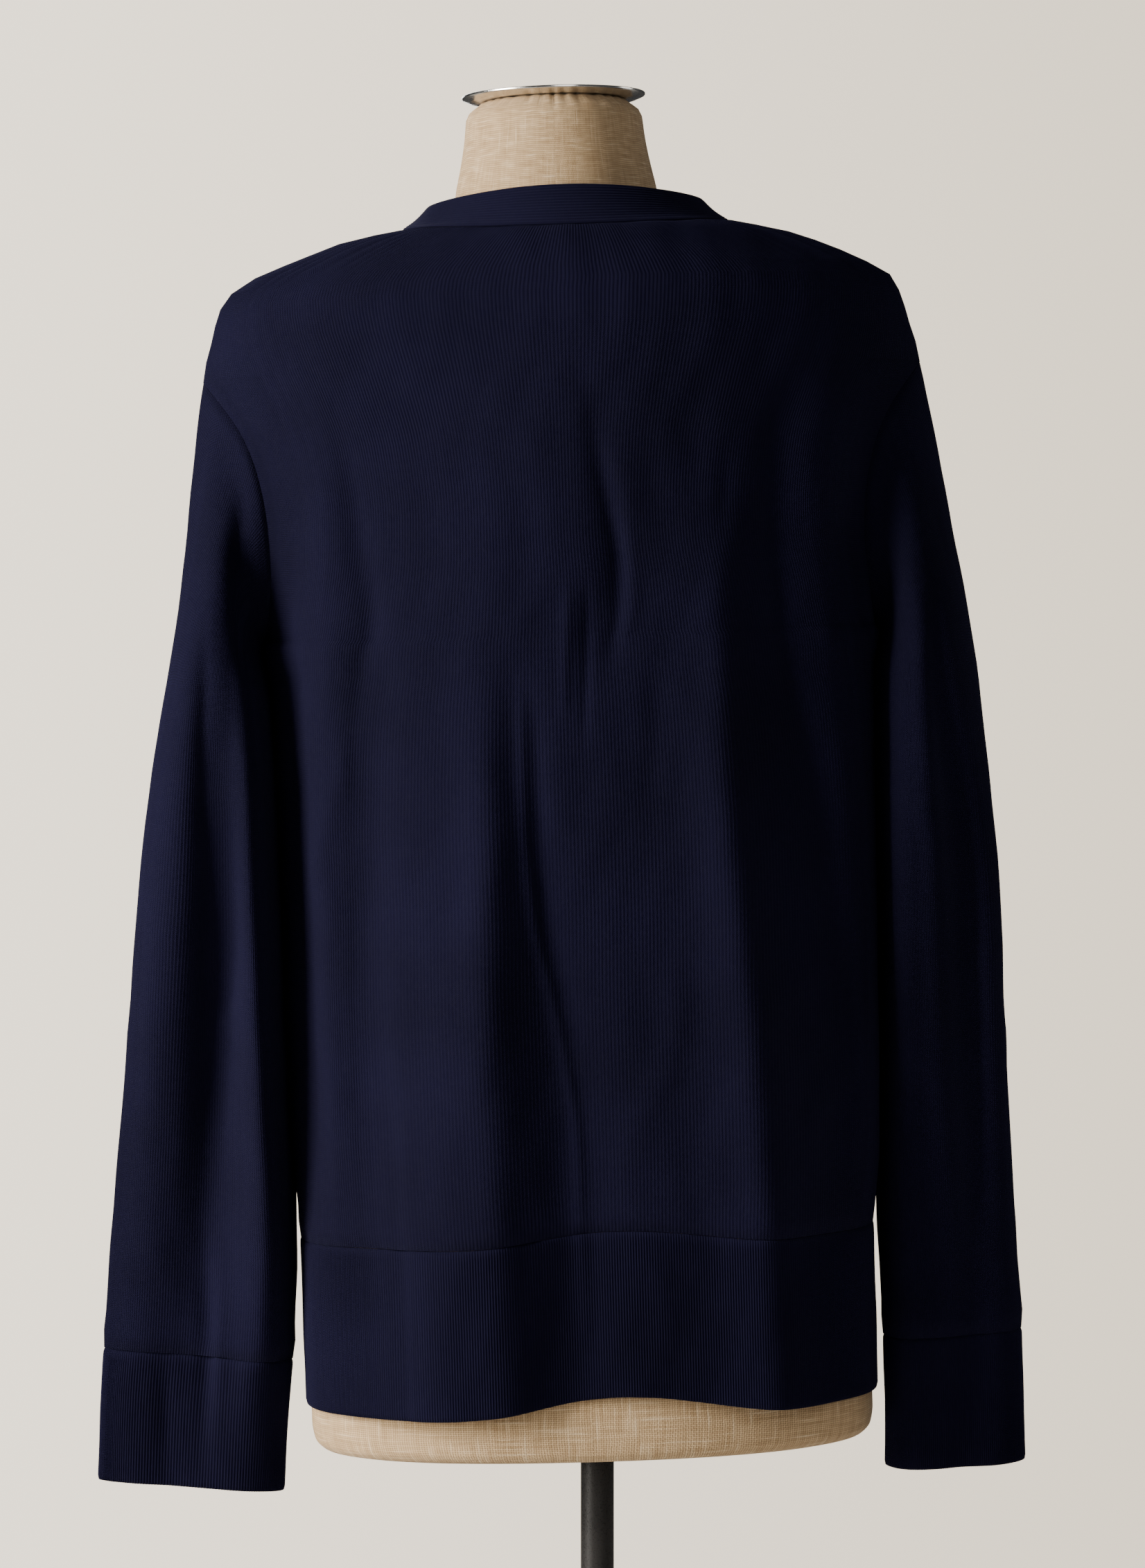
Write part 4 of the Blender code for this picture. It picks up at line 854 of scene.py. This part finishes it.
def neck_band(look):
    """From the right front hem up to the neck, round it and down the left front. In front it lies
    across the opening edge; behind, it stands up and leans in. Its ribs run along it."""
    beside_hem = np.linspace(HEM_Z, HEM_RIB_TOP_Z - SEAM_GAP / 2, BAND_HEM_ROWS)
    z = np.concatenate([beside_hem, body_rows(*BAND_FRONT_ROWS)])
    offset = read(V_EDGE, "offset", z)
    slope = np.gradient(offset, z)[:, None]
    width = np.linspace(SEAM_GAP, BAND_WIDTH, BAND_RIBS * PER_RIB + 1)
    turn_in = smooth_step(1.39, NECK_SIDE_Z, z)[:, None]
    inwards = width / np.hypot(1, slope) * (1 - turn_in) + turn_in * width * BAND_IN_SIDE
    upwards = slope / np.hypot(1, slope) * width * (1 - turn_in) + (
        turn_in * width * BAND_RISE_SIDE / BAND_WIDTH)
    height, across = z[:, None] + upwards, offset[:, None] - inwards
    n = read(BODY, "boxiness", height)
    s = np.clip(np.abs(across) / read(BODY, "mid_width", height), 0, 0.9995) * np.sign(across)
    front = np.arctan2(s, -(1 - np.abs(s) ** n) ** (1 / n))
    lapped = LAYER_STEP * (1 - smooth_step(1.24, 1.30, z))[:, None, None]
    left_normal, right_normal = body_normal(height, front), body_normal(height, -front)
    left = body(height, front) - left_normal * lapped
    right = body(height, -front) + right_normal * lapped

    share = np.linspace(-1, 1, BAND_NECK_ROWS)[1:-1]
    angle = (share * math.pi / 2)[:, None] + 0 * width
    rise = BAND_RISE_SIDE + (BAND_RISE_BACK - BAND_RISE_SIDE) * np.cos(angle) ** 2
    level = neck_z(angle) + rise * width / BAND_WIDTH
    middle = np.concatenate([right, body(level, angle), left[::-1]])
    normal = np.concatenate([right_normal, body_normal(level, angle), left_normal[::-1]])
    ridge = ridges(BAND_RIBS, BAND_RIB_HEIGHT, 0.5)
    ridge[0] = 0
    middle = middle + normal * ridge[:, None]
    to_edge = np.minimum(width - width[0], width[-1] - width)
    half = normal * RIB / 2 * (0.55 + 0.45 * smooth_step(0, 0.0016, to_edge))[:, None]
    return cloth_wall("rib_neck_band", middle + half, middle - half, look, lengths(middle, 1),
                      lengths(middle, 0))


# ---- buttons ----
BUTTON_HOLE_AT = 0.0012       # each hole from the middle, both ways
BUTTON_HOLE_RADIUS = 0.00075
THREAD_HALF_WIDTH = 0.00045


def button_face(radius, turn):
    """Height of a button's face over its floor, for its thickness: a raised rim, a shallow dish and
    four holes sunk into it, crossed by two stitches from hole to hole."""
    r = radius / BUTTON_RADIUS
    height = 0.78 + 0.22 * bell(r - 0.80, 0.10) - 0.10 * np.exp(-(r / 0.5) ** 4)
    x, y = radius * np.cos(turn), radius * np.sin(turn)
    away = np.hypot(np.abs(x) - BUTTON_HOLE_AT, np.abs(y) - BUTTON_HOLE_AT) / BUTTON_HOLE_RADIUS
    height = height - 0.55 * smooth_step(0.90, 1.0, r) - 0.55 * (1 - smooth_step(0.7, 1.05, away))
    bars = [np.exp(-(a / THREAD_HALF_WIDTH) ** 4) * (np.abs(b) < 2 * BUTTON_HOLE_AT)
            for a, b in ((x + y, x - y), (x - y, x + y))]
    return height + 0.30 * np.maximum(*bars)


def button(number, z, look):
    """A round of rings from the middle of the back, over the edge, to the middle of the face."""
    normal = body_normal(z, math.pi)
    centre = body(z, math.pi) + normal * (LAYER_STEP + RIB / 2 + SEAM_GAP)
    side = unit(np.cross(np.array([0.0, 0.0, 1.0]), normal))
    turn = np.arange(48) * math.pi / 24
    shares = np.concatenate([[0.004, 0.5, 0.90, 0.97], [1.0, 1.0], np.linspace(0.98, 0.004, 40)])
    radius = shares[:, None] * BUTTON_RADIUS + 0 * turn
    height = button_face(radius, turn)
    height[:6] = np.array([0.0, 0.0, 0.0, 0.06, 0.20, 0.34])[:, None]
    flat = side * np.cos(turn)[:, None] + np.cross(normal, side) * np.sin(turn)[:, None]
    return rings("button_navy_%d" % number,
                 centre + flat * radius[..., None] + normal * (height * BUTTON_THICK)[..., None],
                 look)


# ---- the form and the stand ----
TORSO_TURNS = 200
TORSO_RISES = 140
PLEAT_COUNT = 31
PLEAT_DEPTH = 0.0011
PLEATS_Z = (1.4960, 1.5070)   # between these heights the pleats grow
DRAWN_IN_Z = 1.4985           # from here up the linen is drawn in under the cap,
DRAWN_IN = 0.15               # at its edge by this share
SEAM_LINE = 0.0005            # how deep the neck seam and the side seams sink
SIDE_SEAM_LINE = 0.0004


def linen_form(look):
    """The torso and neck: ovals down its table, with the cover's seams sunk in, and at the top a
    round of small pleats drawn in under the cap."""
    turn = np.arange(TORSO_TURNS) * 2 * math.pi / TORSO_TURNS
    rows = TORSO["z"]
    z = np.interp(np.linspace(0, len(rows) - 1, TORSO_RISES), np.arange(len(rows)), rows)
    z = z[:, None] + 0 * turn
    s, c, depth = level_oval(TORSO, z, turn)
    drawn_in = 1 - DRAWN_IN * smooth_step(DRAWN_IN_Z, NECK_TOP_Z, z) ** 1.5
    half_width = read(TORSO, "half_width", z)
    middle = np.stack([half_width * s * drawn_in, depth * c * drawn_in, z], axis=-1)
    around = np.roll(middle, -1, axis=1) - np.roll(middle, 1, axis=1)
    normal = unit(np.cross(np.gradient(middle, axis=0), around))
    outwards = (normal[..., :2] * middle[..., :2]).sum(axis=-1, keepdims=True)
    normal = normal * np.sign(outwards + 1e-9)
    uneven = 0.9 * np.sin(3 * turn) + 0.6 * np.sin(7 * turn)
    pleats = np.abs(np.sin(PLEAT_COUNT * turn / 2 + uneven))
    relief = PLEAT_DEPTH * smooth_step(*PLEATS_Z, z) * (pleats ** 0.6 - 0.75)
    relief = relief - SEAM_LINE * bell(z - NECK_SEAM_Z, 0.0012)
    from_side = (np.abs(np.sin(turn)) - 1) * 0.06
    relief = relief - SIDE_SEAM_LINE * bell(from_side, 0.0004) * (c ** 2 < 0.004)
    points = middle + normal * relief[..., None]
    quads = cells(TORSO_RISES, TORSO_TURNS, 0, TORSO_TURNS, 1)
    ends = [corners_at(0, TORSO_TURNS, 1, row, np.arange(TORSO_TURNS)[::step])
            for row, step in ((0, -1), (TORSO_RISES - 1, 1))]
    flat = np.concatenate([quads.reshape(-1, 3), *ends])
    across, down = round_lengths(middle), lengths(middle, 0)
    corner_uv = np.stack([across[flat[:, 1]], down[flat[:, 2]]], axis=-1)
    return put_mesh("linen_form", lean(points).reshape(-1, 3),
                    quads[..., 0].tolist() + [end[:, 0].tolist() for end in ends], look, corner_uv)


def turned(name, corners, radius, count, look, tipped=False, middle_y=0.0):
    """A turned solid. Its profile's corners (radius, height) become small arcs, by quadratic
    curves."""
    corners = np.array(corners)
    profile = [corners[0]]
    t = np.linspace(0, 1, 5)[:, None]
    for before, at, after in zip(corners[:-2], corners[1:-1], corners[2:]):
        r = min(radius, np.linalg.norm(before - at) / 2.1, np.linalg.norm(after - at) / 2.1)
        a, b = at + unit(before - at) * r, at + unit(after - at) * r
        profile.extend((1 - t) ** 2 * a + 2 * t * (1 - t) * at + t ** 2 * b)
    r, z = np.array(profile + [corners[-1]]).T[..., None]
    turn = np.arange(count) * 2 * math.pi / count
    points = np.stack([r * np.cos(turn), middle_y + r * np.sin(turn), z + 0 * turn], axis=-1)
    return rings(name, points, look, tipped)


AXIS = 0.0005                 # a profile's first and last radius


def neck_cap(look):
    """The cap: a thin rim over a dished underside, its top crowned a little."""
    low = NECK_TOP_Z + SEAM_GAP
    top = low + CAP_THICK
    return turned("turned_cap", (
        (AXIS, low), (0.0470, low), (0.0500, low + 0.0004), (0.0545, low + 0.0022),
        (CAP_RADIUS, low + 0.0026), (CAP_RADIUS, top - 0.0004), (0.0545, top - 0.0001),
        (0.0500, top - 0.0006), (0.0300, top), (AXIS, top)), 0.0004, 160, look, True, CAP_Y)


def pole(look):
    """A straight tube's outside, from the base up to the torso, where it clears the lean."""
    low, top = BASE_THICK + SEAM_GAP, FORM_FOOT_Z - POLE_RADIUS * math.sin(LEAN) - SEAM_GAP
    heights = (low, low + 0.02, top - 0.02, top)
    return turned("satin_pole", ((AXIS, low), *((POLE_RADIUS, z) for z in heights), (AXIS, top)),
                  0.0006, 96, look)


def base(look):
    """A flat disc with broken edges."""
    bevel = 0.003
    return turned("satin_base", (
        (AXIS, 0.0), (BASE_RADIUS - bevel, 0.0), (BASE_RADIUS, bevel),
        (BASE_RADIUS, BASE_THICK - bevel), (BASE_RADIUS - bevel, BASE_THICK), (AXIS, BASE_THICK)),
        0.002, 192, look)


# ---- finishes ----
class Wire:
    """A shader socket that the usual signs join to others and to numbers, by math nodes."""

    def __init__(self, sheet, socket):
        self.sheet, self.socket = sheet, socket

    def __add__(self, other):
        return self.sheet.math("ADD", self, other)

    def __sub__(self, other):
        return self.sheet.math("SUBTRACT", self, other)

    def __mul__(self, other):
        return self.sheet.math("MULTIPLY", self, other)

    def __truediv__(self, other):
        return self.sheet.math("DIVIDE", self, other)

    def __abs__(self):
        return self.sheet.math("ABSOLUTE", self)

    def ramp(self, low, high, to_low, to_high):
        """Low to high becomes to_low to to_high, and stays there beyond."""
        return self.sheet.node("ShaderNodeMapRange", {
            "Value": self, "From Min": low, "From Max": high, "To Min": to_low, "To Max": to_high})

    def from_middle(self):
        """Distance from the middle of each unit cell, 0 to a half."""
        return abs(self.sheet.math("FRACT", self) - 0.5)


class Sheet:
    """A short way to place and join shader nodes in one tree."""

    def __init__(self, tree):
        self.tree = tree

    def feed(self, socket, value):
        if isinstance(value, Wire):
            self.tree.links.new(value.socket, socket)
        elif isinstance(value, tuple) and len(value) < len(socket.default_value):
            socket.default_value = (*value, 1)
        else:
            socket.default_value = value

    def node(self, kind, values, out=0, **settings):
        """A node with its settings and its inputs' values, by name or number; gives one output."""
        made = self.tree.nodes.new(kind)
        for name, value in settings.items():
            setattr(made, name, value)
        for name, value in values.items():
            self.feed(made.inputs[name], value)
        return Wire(self, made.outputs[out])

    def math(self, operation, *values):
        return self.node("ShaderNodeMath", dict(enumerate(values)), operation=operation)

    def mix(self, share, first, second):
        return self.node("ShaderNodeMix", {"Factor": share, 6: first, 7: second}, 2,
                         data_type="RGBA")

    def noise(self, vector, scale, detail=2.0, roughness=0.5):
        return self.node("ShaderNodeTexNoise", {"Vector": vector, "Scale": scale, "Detail": detail,
                                                "Roughness": roughness})

    def split(self, vector):
        node = self.node("ShaderNodeSeparateXYZ", {0: vector}).socket.node
        return [Wire(self, socket) for socket in node.outputs]

    def combine(self, *values):
        return self.node("ShaderNodeCombineXYZ", dict(enumerate(values)))

    def place(self):
        return self.node("ShaderNodeTexCoord", {}, "Object")

    def group(self, tree, **values):
        """A placed shader group: its outputs by name."""
        node = self.node("ShaderNodeGroup", values, node_tree=tree).socket.node
        return {socket.name: Wire(self, socket) for socket in node.outputs}


def group(name, sizes, results):
    """A shader group: a vector Place and named sizes go in, and the named values that results makes
    of them come out."""
    tree = bpy.data.node_groups.new(name, "ShaderNodeTree")
    sheet = Sheet(tree)
    tree.interface.new_socket("Place", in_out="INPUT", socket_type="NodeSocketVector")
    for socket, value in sizes.items():
        made = tree.interface.new_socket(socket, in_out="INPUT", socket_type="NodeSocketFloat")
        made.default_value = value
    given = tree.nodes.new("NodeGroupInput").outputs
    made = results(sheet, *(Wire(sheet, given[i]) for i in range(1 + len(sizes))))
    for socket in made:
        tree.interface.new_socket(socket, in_out="OUTPUT", socket_type="NodeSocketFloat")
    out = tree.nodes.new("NodeGroupOutput")
    for socket, value in made.items():
        sheet.feed(out.inputs[socket], value)
    return tree


def stitches(sheet, place, wale, course):
    """Stitches along the wales: each wale is two legs that slant up to its middle, one pair a
    course. Loop is 1 on the top of a leg and 0 in the gaps between them."""
    u, v, _ = sheet.split(place)
    side = (u / wale).from_middle()
    slant = v / course + sheet.noise(place, 130.0) * 0.5 + side * 1.7
    leg = slant.from_middle().ramp(0.08, 0.42, 0.0, 1.0)
    loop = leg * side.ramp(0.0, 0.10, 0.45, 1.0) * side.ramp(0.36, 0.50, 1.0, 0.25)
    return {"Loop": loop, "Fibre": sheet.noise(place, 2600.0, 3.0, 0.6)}


def weave(sheet, place, pitch):
    """Plain weave: warp and weft threads, each pressed over and under by turns, of uneven width.
    Thread is their height, Slub marks thick places, Tone varies from thread to thread."""
    shift = (sheet.noise(place, 55.0) - 0.5) * 1.6
    ways = sheet.split(place)[:2]
    places = [way / pitch + shift for way in ways]
    threads = [sheet.math("FLOOR", at) for at in places]
    over = sheet.math("MODULO", abs(threads[0] + threads[1]), 2.0)
    heights, tones = [], []
    for axis, rise in ((0, (0.55, 1.0)), (1, (1.0, 0.55))):
        thread = sheet.math("SQRT", places[axis].from_middle().ramp(0.0, 0.5, 1.0, 0.02))
        heights.append(thread * over.ramp(0.0, 1.0, *rise))
        spot = sheet.combine(threads[axis] * 1.37, ways[1 - axis] * 38.0, 11.0 * axis)
        tones.append(sheet.noise(spot, 1.0, 1.0))
    return {"Thread": sheet.math("MAXIMUM", *heights),
            "Slub": sheet.math("MAXIMUM", *tones).ramp(0.62, 0.78, 0.0, 1.0),
            "Tone": (tones[0] + tones[1]) * 0.5}


def patches(sheet, place, size):
    """Soft patches of tone all over a piece, by its own coordinates: large ones and small ones."""
    scaled = sheet.node("ShaderNodeVectorMath", {0: place, 1: sheet.combine(size, size, size)},
                        operation="DIVIDE")
    return {"Patch": sheet.noise(scaled, 1.0, 3.0), "Speck": sheet.noise(scaled, 24.0, 2.0, 0.7)}


KNIT = group("knit_stitches", {"Wale": 0.0014, "Course": 0.0011}, stitches)
WEAVE = group("linen_weave", {"Pitch": 0.0012}, weave)
PATCHES = group("soft_patches", {"Size": 0.1}, patches)


def new_look(name):
    """A material and the sheet of its nodes."""
    look = bpy.data.materials.new(name)
    look.use_nodes = True
    return look, Sheet(look.node_tree)


def patched_look(name, size):
    """A material and its sheet, with the values of soft patches of a size."""
    look, sheet = new_look(name)
    marks = sheet.group(PATCHES, Place=sheet.place(), Size=size)
    return look, sheet, marks["Patch"], marks["Speck"]


def shaded(look, sheet, values, bump=None):
    """Feed a look's shader; bump is a height with its strength and its depth in metres."""
    if bump:
        height, strength, depth = bump
        values["Normal"] = sheet.node("ShaderNodeBump", {
            "Height": height, "Strength": strength, "Distance": depth})
    shader = look.node_tree.nodes["Principled BSDF"]
    for name, value in values.items():
        sheet.feed(shader.inputs[name], value)
    return look


def knit_look(name, dark, light, wale, course, depth):
    """Navy merino: matt, with a short bluish nap, stitches as bump over the modelled ridges and as
    painted shade in the gaps between their legs.
    """
    look, sheet, patch, speck = patched_look(name, 0.09)
    uv = sheet.node("ShaderNodeUVMap", {}, uv_map=KNIT_UV)
    knit = sheet.group(KNIT, Place=uv, Wale=wale, Course=course)
    # Base colour: painted shade, dark where Loop falls to 0 in the gaps between stitch legs, plus
    # random fibre heather and soft patches
    tone = knit["Loop"] * 0.55 + knit["Fibre"] * 0.45 + patch.ramp(0.3, 0.7, -0.12, 0.12)
    return shaded(look, sheet, {
        "Base Color": sheet.mix(tone, dark, light), "Roughness": speck.ramp(0.3, 0.7, 0.82, 0.95),
        "Specular IOR Level": 0.06, "Sheen Weight": 0.03, "Sheen Roughness": 0.42,
        "Sheen Tint": (0.40, 0.40, 0.95)}, (knit["Loop"] + knit["Fibre"] * 0.5, 0.8, depth))


def linen_look():
    """Natural linen: pale flax threads with slubs, and painted shade, dark and warm, in the gaps
    between threads.
    """
    look, sheet, patch, speck = patched_look("natural_linen", 0.06)
    uv = sheet.node("ShaderNodeUVMap", {}, uv_map=KNIT_UV)
    cloth = sheet.group(WEAVE, Place=uv, Pitch=0.0012)
    thread = sheet.mix(cloth["Tone"].ramp(0.32, 0.68, 0.0, 1.0), (0.41, 0.265, 0.135),
                       (0.74, 0.530, 0.310))
    # Painted shade: where the thread height falls, between threads, the colour goes to a dark warm
    # brown
    flax = sheet.mix(cloth["Thread"].ramp(0.35, 0.85, 0.0, 1.0), (0.19, 0.120, 0.058), thread)
    flax = sheet.mix(cloth["Slub"] * 0.35, flax, (0.66, 0.54, 0.38))
    flax = sheet.mix(patch.ramp(0.35, 0.75, 0.0, 0.22), flax, (0.38, 0.250, 0.130))
    return shaded(look, sheet, {
        "Base Color": flax, "Roughness": speck.ramp(0.3, 0.7, 0.78, 0.92),
        "Specular IOR Level": 0.25, "Sheen Weight": 0.08},
        (cloth["Thread"] + cloth["Slub"] * 0.5, 0.7, 0.0003))


def cap_look():
    """Bright turned steel: fine rings from the lathe and a few faint rubs."""
    look, sheet, patch, speck = patched_look("turned_steel", 0.02)
    middle = lean(np.array([0.0, CAP_Y, NECK_TOP_Z]))
    about = sheet.node("ShaderNodeMapping", {"Vector": sheet.place(), "Location": tuple(-middle)})
    marks = sheet.node("ShaderNodeTexWave", {"Vector": about, "Scale": 420.0, "Distortion": 0.6}, 1,
                       wave_type="RINGS", rings_direction="Z")
    return shaded(look, sheet, {
        "Base Color": sheet.mix(patch.ramp(0.3, 0.7, 0.0, 1.0), (0.62, 0.60, 0.57),
                                (0.80, 0.79, 0.77)),
        "Metallic": 1.0, "Roughness": speck.ramp(0.3, 0.7, 0.14, 0.26)}, (marks, 0.10, 0.00008))


def satin_black(name, rough_low, rough_high):
    """Powder-coated black steel with a fine orange peel, dust and faint rubs."""
    look, sheet, patch, speck = patched_look(name, 0.03)
    return shaded(look, sheet, {
        "Base Color": sheet.mix(patch.ramp(0.35, 0.75, 0.0, 1.0), (0.0105, 0.0098, 0.0098),
                                (0.020, 0.0185, 0.018)),
        "Roughness": speck.ramp(0.3, 0.7, rough_low, rough_high), "Specular IOR Level": 0.45},
        (sheet.noise(sheet.place(), 900.0, 1.0), 0.15, 0.0001))


def button_look():
    """Navy horn-like resin with a faint clouding and a polished face."""
    look, sheet, patch, speck = patched_look("navy_resin", 0.004)
    return shaded(look, sheet, {
        "Base Color": sheet.mix(patch.ramp(0.3, 0.7, 0.0, 1.0), (0.006, 0.007, 0.017),
                                (0.016, 0.018, 0.040)),
        "Roughness": speck.ramp(0.3, 0.7, 0.22, 0.34)})


# ---- the garment, the form and the stand ----
jersey = knit_look("navy_jersey", (0.0013, 0.0011, 0.0054), (0.0080, 0.0070, 0.0265), 0.0014,
                   0.0011, 0.00025)
ribbing = knit_look("navy_ribbing", (0.0014, 0.0012, 0.0057), (0.0086, 0.0076, 0.0280), 0.00085,
                    0.0010, 0.00018)
resin = button_look()

QUARTER = math.pi / 2
CLOSED = float(front_edge_angle(np.array([HEM_Z]))[0])
cloth = {"back_panel": back_panel(jersey)}
for side, sign in SIGN.items():
    cloth["front_" + side] = front_panel(side, jersey)
    cloth["front_%s_hem_rib" % side] = hem_rib(
        "rib_hem_" + side, *sorted((sign * QUARTER, sign * CLOSED)), HEM_RIBS_FRONT, ribbing)
    cloth["sleeve_" + side] = sleeve_piece(side, jersey)
    cloth["cuff_" + side] = cuff(side, ribbing)
cloth["back_hem_rib"] = hem_rib("rib_hem_back", -QUARTER, QUARTER, HEM_RIBS_BACK, ribbing)
cloth["neck_band"] = neck_band(ribbing)
for node, piece in cloth.items():
    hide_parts(node)
    "navy_knit" if piece.data.materials[0] == jersey else "navy_rib"

heights = np.linspace(LOW_BUTTON_Z, HIGH_BUTTON_Z, BUTTON_COUNT)
hard = [(button(number, float(z), resin), "button_%d" % number, "button_navy")
        for number, z in enumerate(heights, 1)]
for made, node, slot in (
        *hard, (linen_form(linen_look()), "torso_form", "linen"),
        (neck_cap(cap_look()), "neck_cap", "cap_metal"),
        (pole(satin_black("black_pole", 0.24, 0.36)), "stand_pole", "pole_black"),
        (base(satin_black("black_base", 0.38, 0.52)), "stand_base", "base_black")):
    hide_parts(node)

# ---- floor, backdrop, light and camera ----
ROUND = 128                   # steps round the floor and the backdrop
FLOOR_Z = -0.0006
FLOOR_RADIUS = 3.3
BACKDROP_RADIUS = 12.0
BACKDROP_LOW, BACKDROP_HIGH = -8.0, 10.0
BACKDROP_GLOW = 2.4
CAMERA_AT = (0.015, 3.0, 1.175)
CAMERA_LENS = 114.5
CAMERA_DROP = math.radians(1.44)
LAMPS = (
    # name, place, aim, width, height, power, colour
    ("window_key", (2.65, 1.25, 1.75), (0.0, 0.0, 1.12), 1.5, 1.8, 262.0, (1.0, 0.965, 0.91)),
    ("front_fill", (-0.9, 3.6, 2.3), (0.0, 0.0, 1.1), 1.6, 1.6, 30.0, (1.0, 0.985, 0.96)),
    ("side_fill", (-2.6, -0.7, 1.7), (0.0, 0.0, 1.0), 0.9, 1.4, 10.0, (1.0, 0.98, 0.95)),
    ("far_fill", (0.7, -2.9, 2.2), (0.0, 0.0, 1.0), 1.6, 1.6, 40.0, (1.0, 0.98, 0.95)),
)


def floor_look():
    """Pale concrete, faintly clouded."""
    look, sheet = new_look("pale_floor")
    tone = sheet.mix(sheet.noise(sheet.place(), 3.0, 4.0), (0.62, 0.59, 0.54), (0.68, 0.65, 0.60))
    return shaded(look, sheet, {"Base Color": tone, "Roughness": 0.85})


def backdrop_look():
    """A cream paper sweep drawn as a glowing surface, its colour painted light: lighter on the key
    light's side, darker away from it.
    """
    look, sheet = new_look("glowing_backdrop_painted_light")
    # Painted light: the glow's share of the light cream grows towards +X, the key light's side
    share = sheet.split(sheet.place())[0].ramp(-1.667, 1.667, 0.0, 1.0)
    return shaded(look, sheet, {
        "Base Color": (0, 0, 0), "Roughness": 1.0, "Specular IOR Level": 0.0,
        "Emission Color": sheet.mix(share, (0.66, 0.575, 0.455), (0.92, 0.815, 0.665)),
        "Emission Strength": BACKDROP_GLOW})


def stage_ring(name, radii, heights, look, disc=False):
    """A band between two rings about the part, with its inner ring filled for a disc."""
    turn = np.arange(ROUND) * 2 * math.pi / ROUND
    r, z = np.array(radii)[:, None], np.array(heights)[:, None]
    points = np.stack([r * np.cos(turn), r * np.sin(turn), z + 0 * turn], axis=-1)
    faces = cells(2, ROUND, 0, ROUND, 1)[..., 0].tolist()
    if disc:
        faces.append(list(range(ROUND, 2 * ROUND)))
    mesh = bpy.data.meshes.new(name)
    mesh.from_pydata(points.reshape(-1, 3).tolist(), [], faces)
    mesh.polygons.foreach_set("use_smooth", np.full(len(mesh.polygons), not disc))
    mesh.materials.append(look)
    made = bpy.data.objects.new(name, mesh)
    bpy.context.collection.objects.link(made)
    return made


stage_ring("pale_floor", (FLOOR_RADIUS, 0.01), (FLOOR_Z, FLOOR_Z), floor_look(), True)
# The backdrop is a glowing surface with painted light, hidden from diffuse and glossy rays so that
# it lights nothing
sweep = stage_ring("glowing_backdrop_painted_light", (BACKDROP_RADIUS, BACKDROP_RADIUS),
                   (BACKDROP_LOW, BACKDROP_HIGH), backdrop_look())
sweep.visible_diffuse = False
sweep.visible_glossy = False

for name, at, to, width, height, power, colour in LAMPS:
    lamp = bpy.data.lights.new(name, "AREA")
    lamp.shape = "RECTANGLE"
    lamp.size, lamp.size_y, lamp.energy, lamp.color = width, height, power, colour
    made = bpy.data.objects.new(name, lamp)
    x, y, z = np.subtract(to, at)
    made.location = at
    made.rotation_euler = (math.atan2(math.hypot(x, y), -z), 0.0, math.atan2(-x, y))
    bpy.context.collection.objects.link(made)

world = bpy.data.worlds.new("studio_air")
world.use_nodes = True
air = world.node_tree.nodes["Background"].inputs
air["Color"].default_value = (0.93, 0.96, 1.0, 1)
air["Strength"].default_value = 0.05
bpy.context.scene.world = world

lens = bpy.data.cameras.new("photo_camera")
lens.sensor_width = 36.0
lens.lens = CAMERA_LENS
camera = bpy.data.objects.new("photo_camera", lens)
camera.location = CAMERA_AT
camera.rotation_euler = (math.pi / 2 - CAMERA_DROP, 0.0, math.pi)
bpy.context.collection.objects.link(camera)
bpy.context.scene.camera = camera
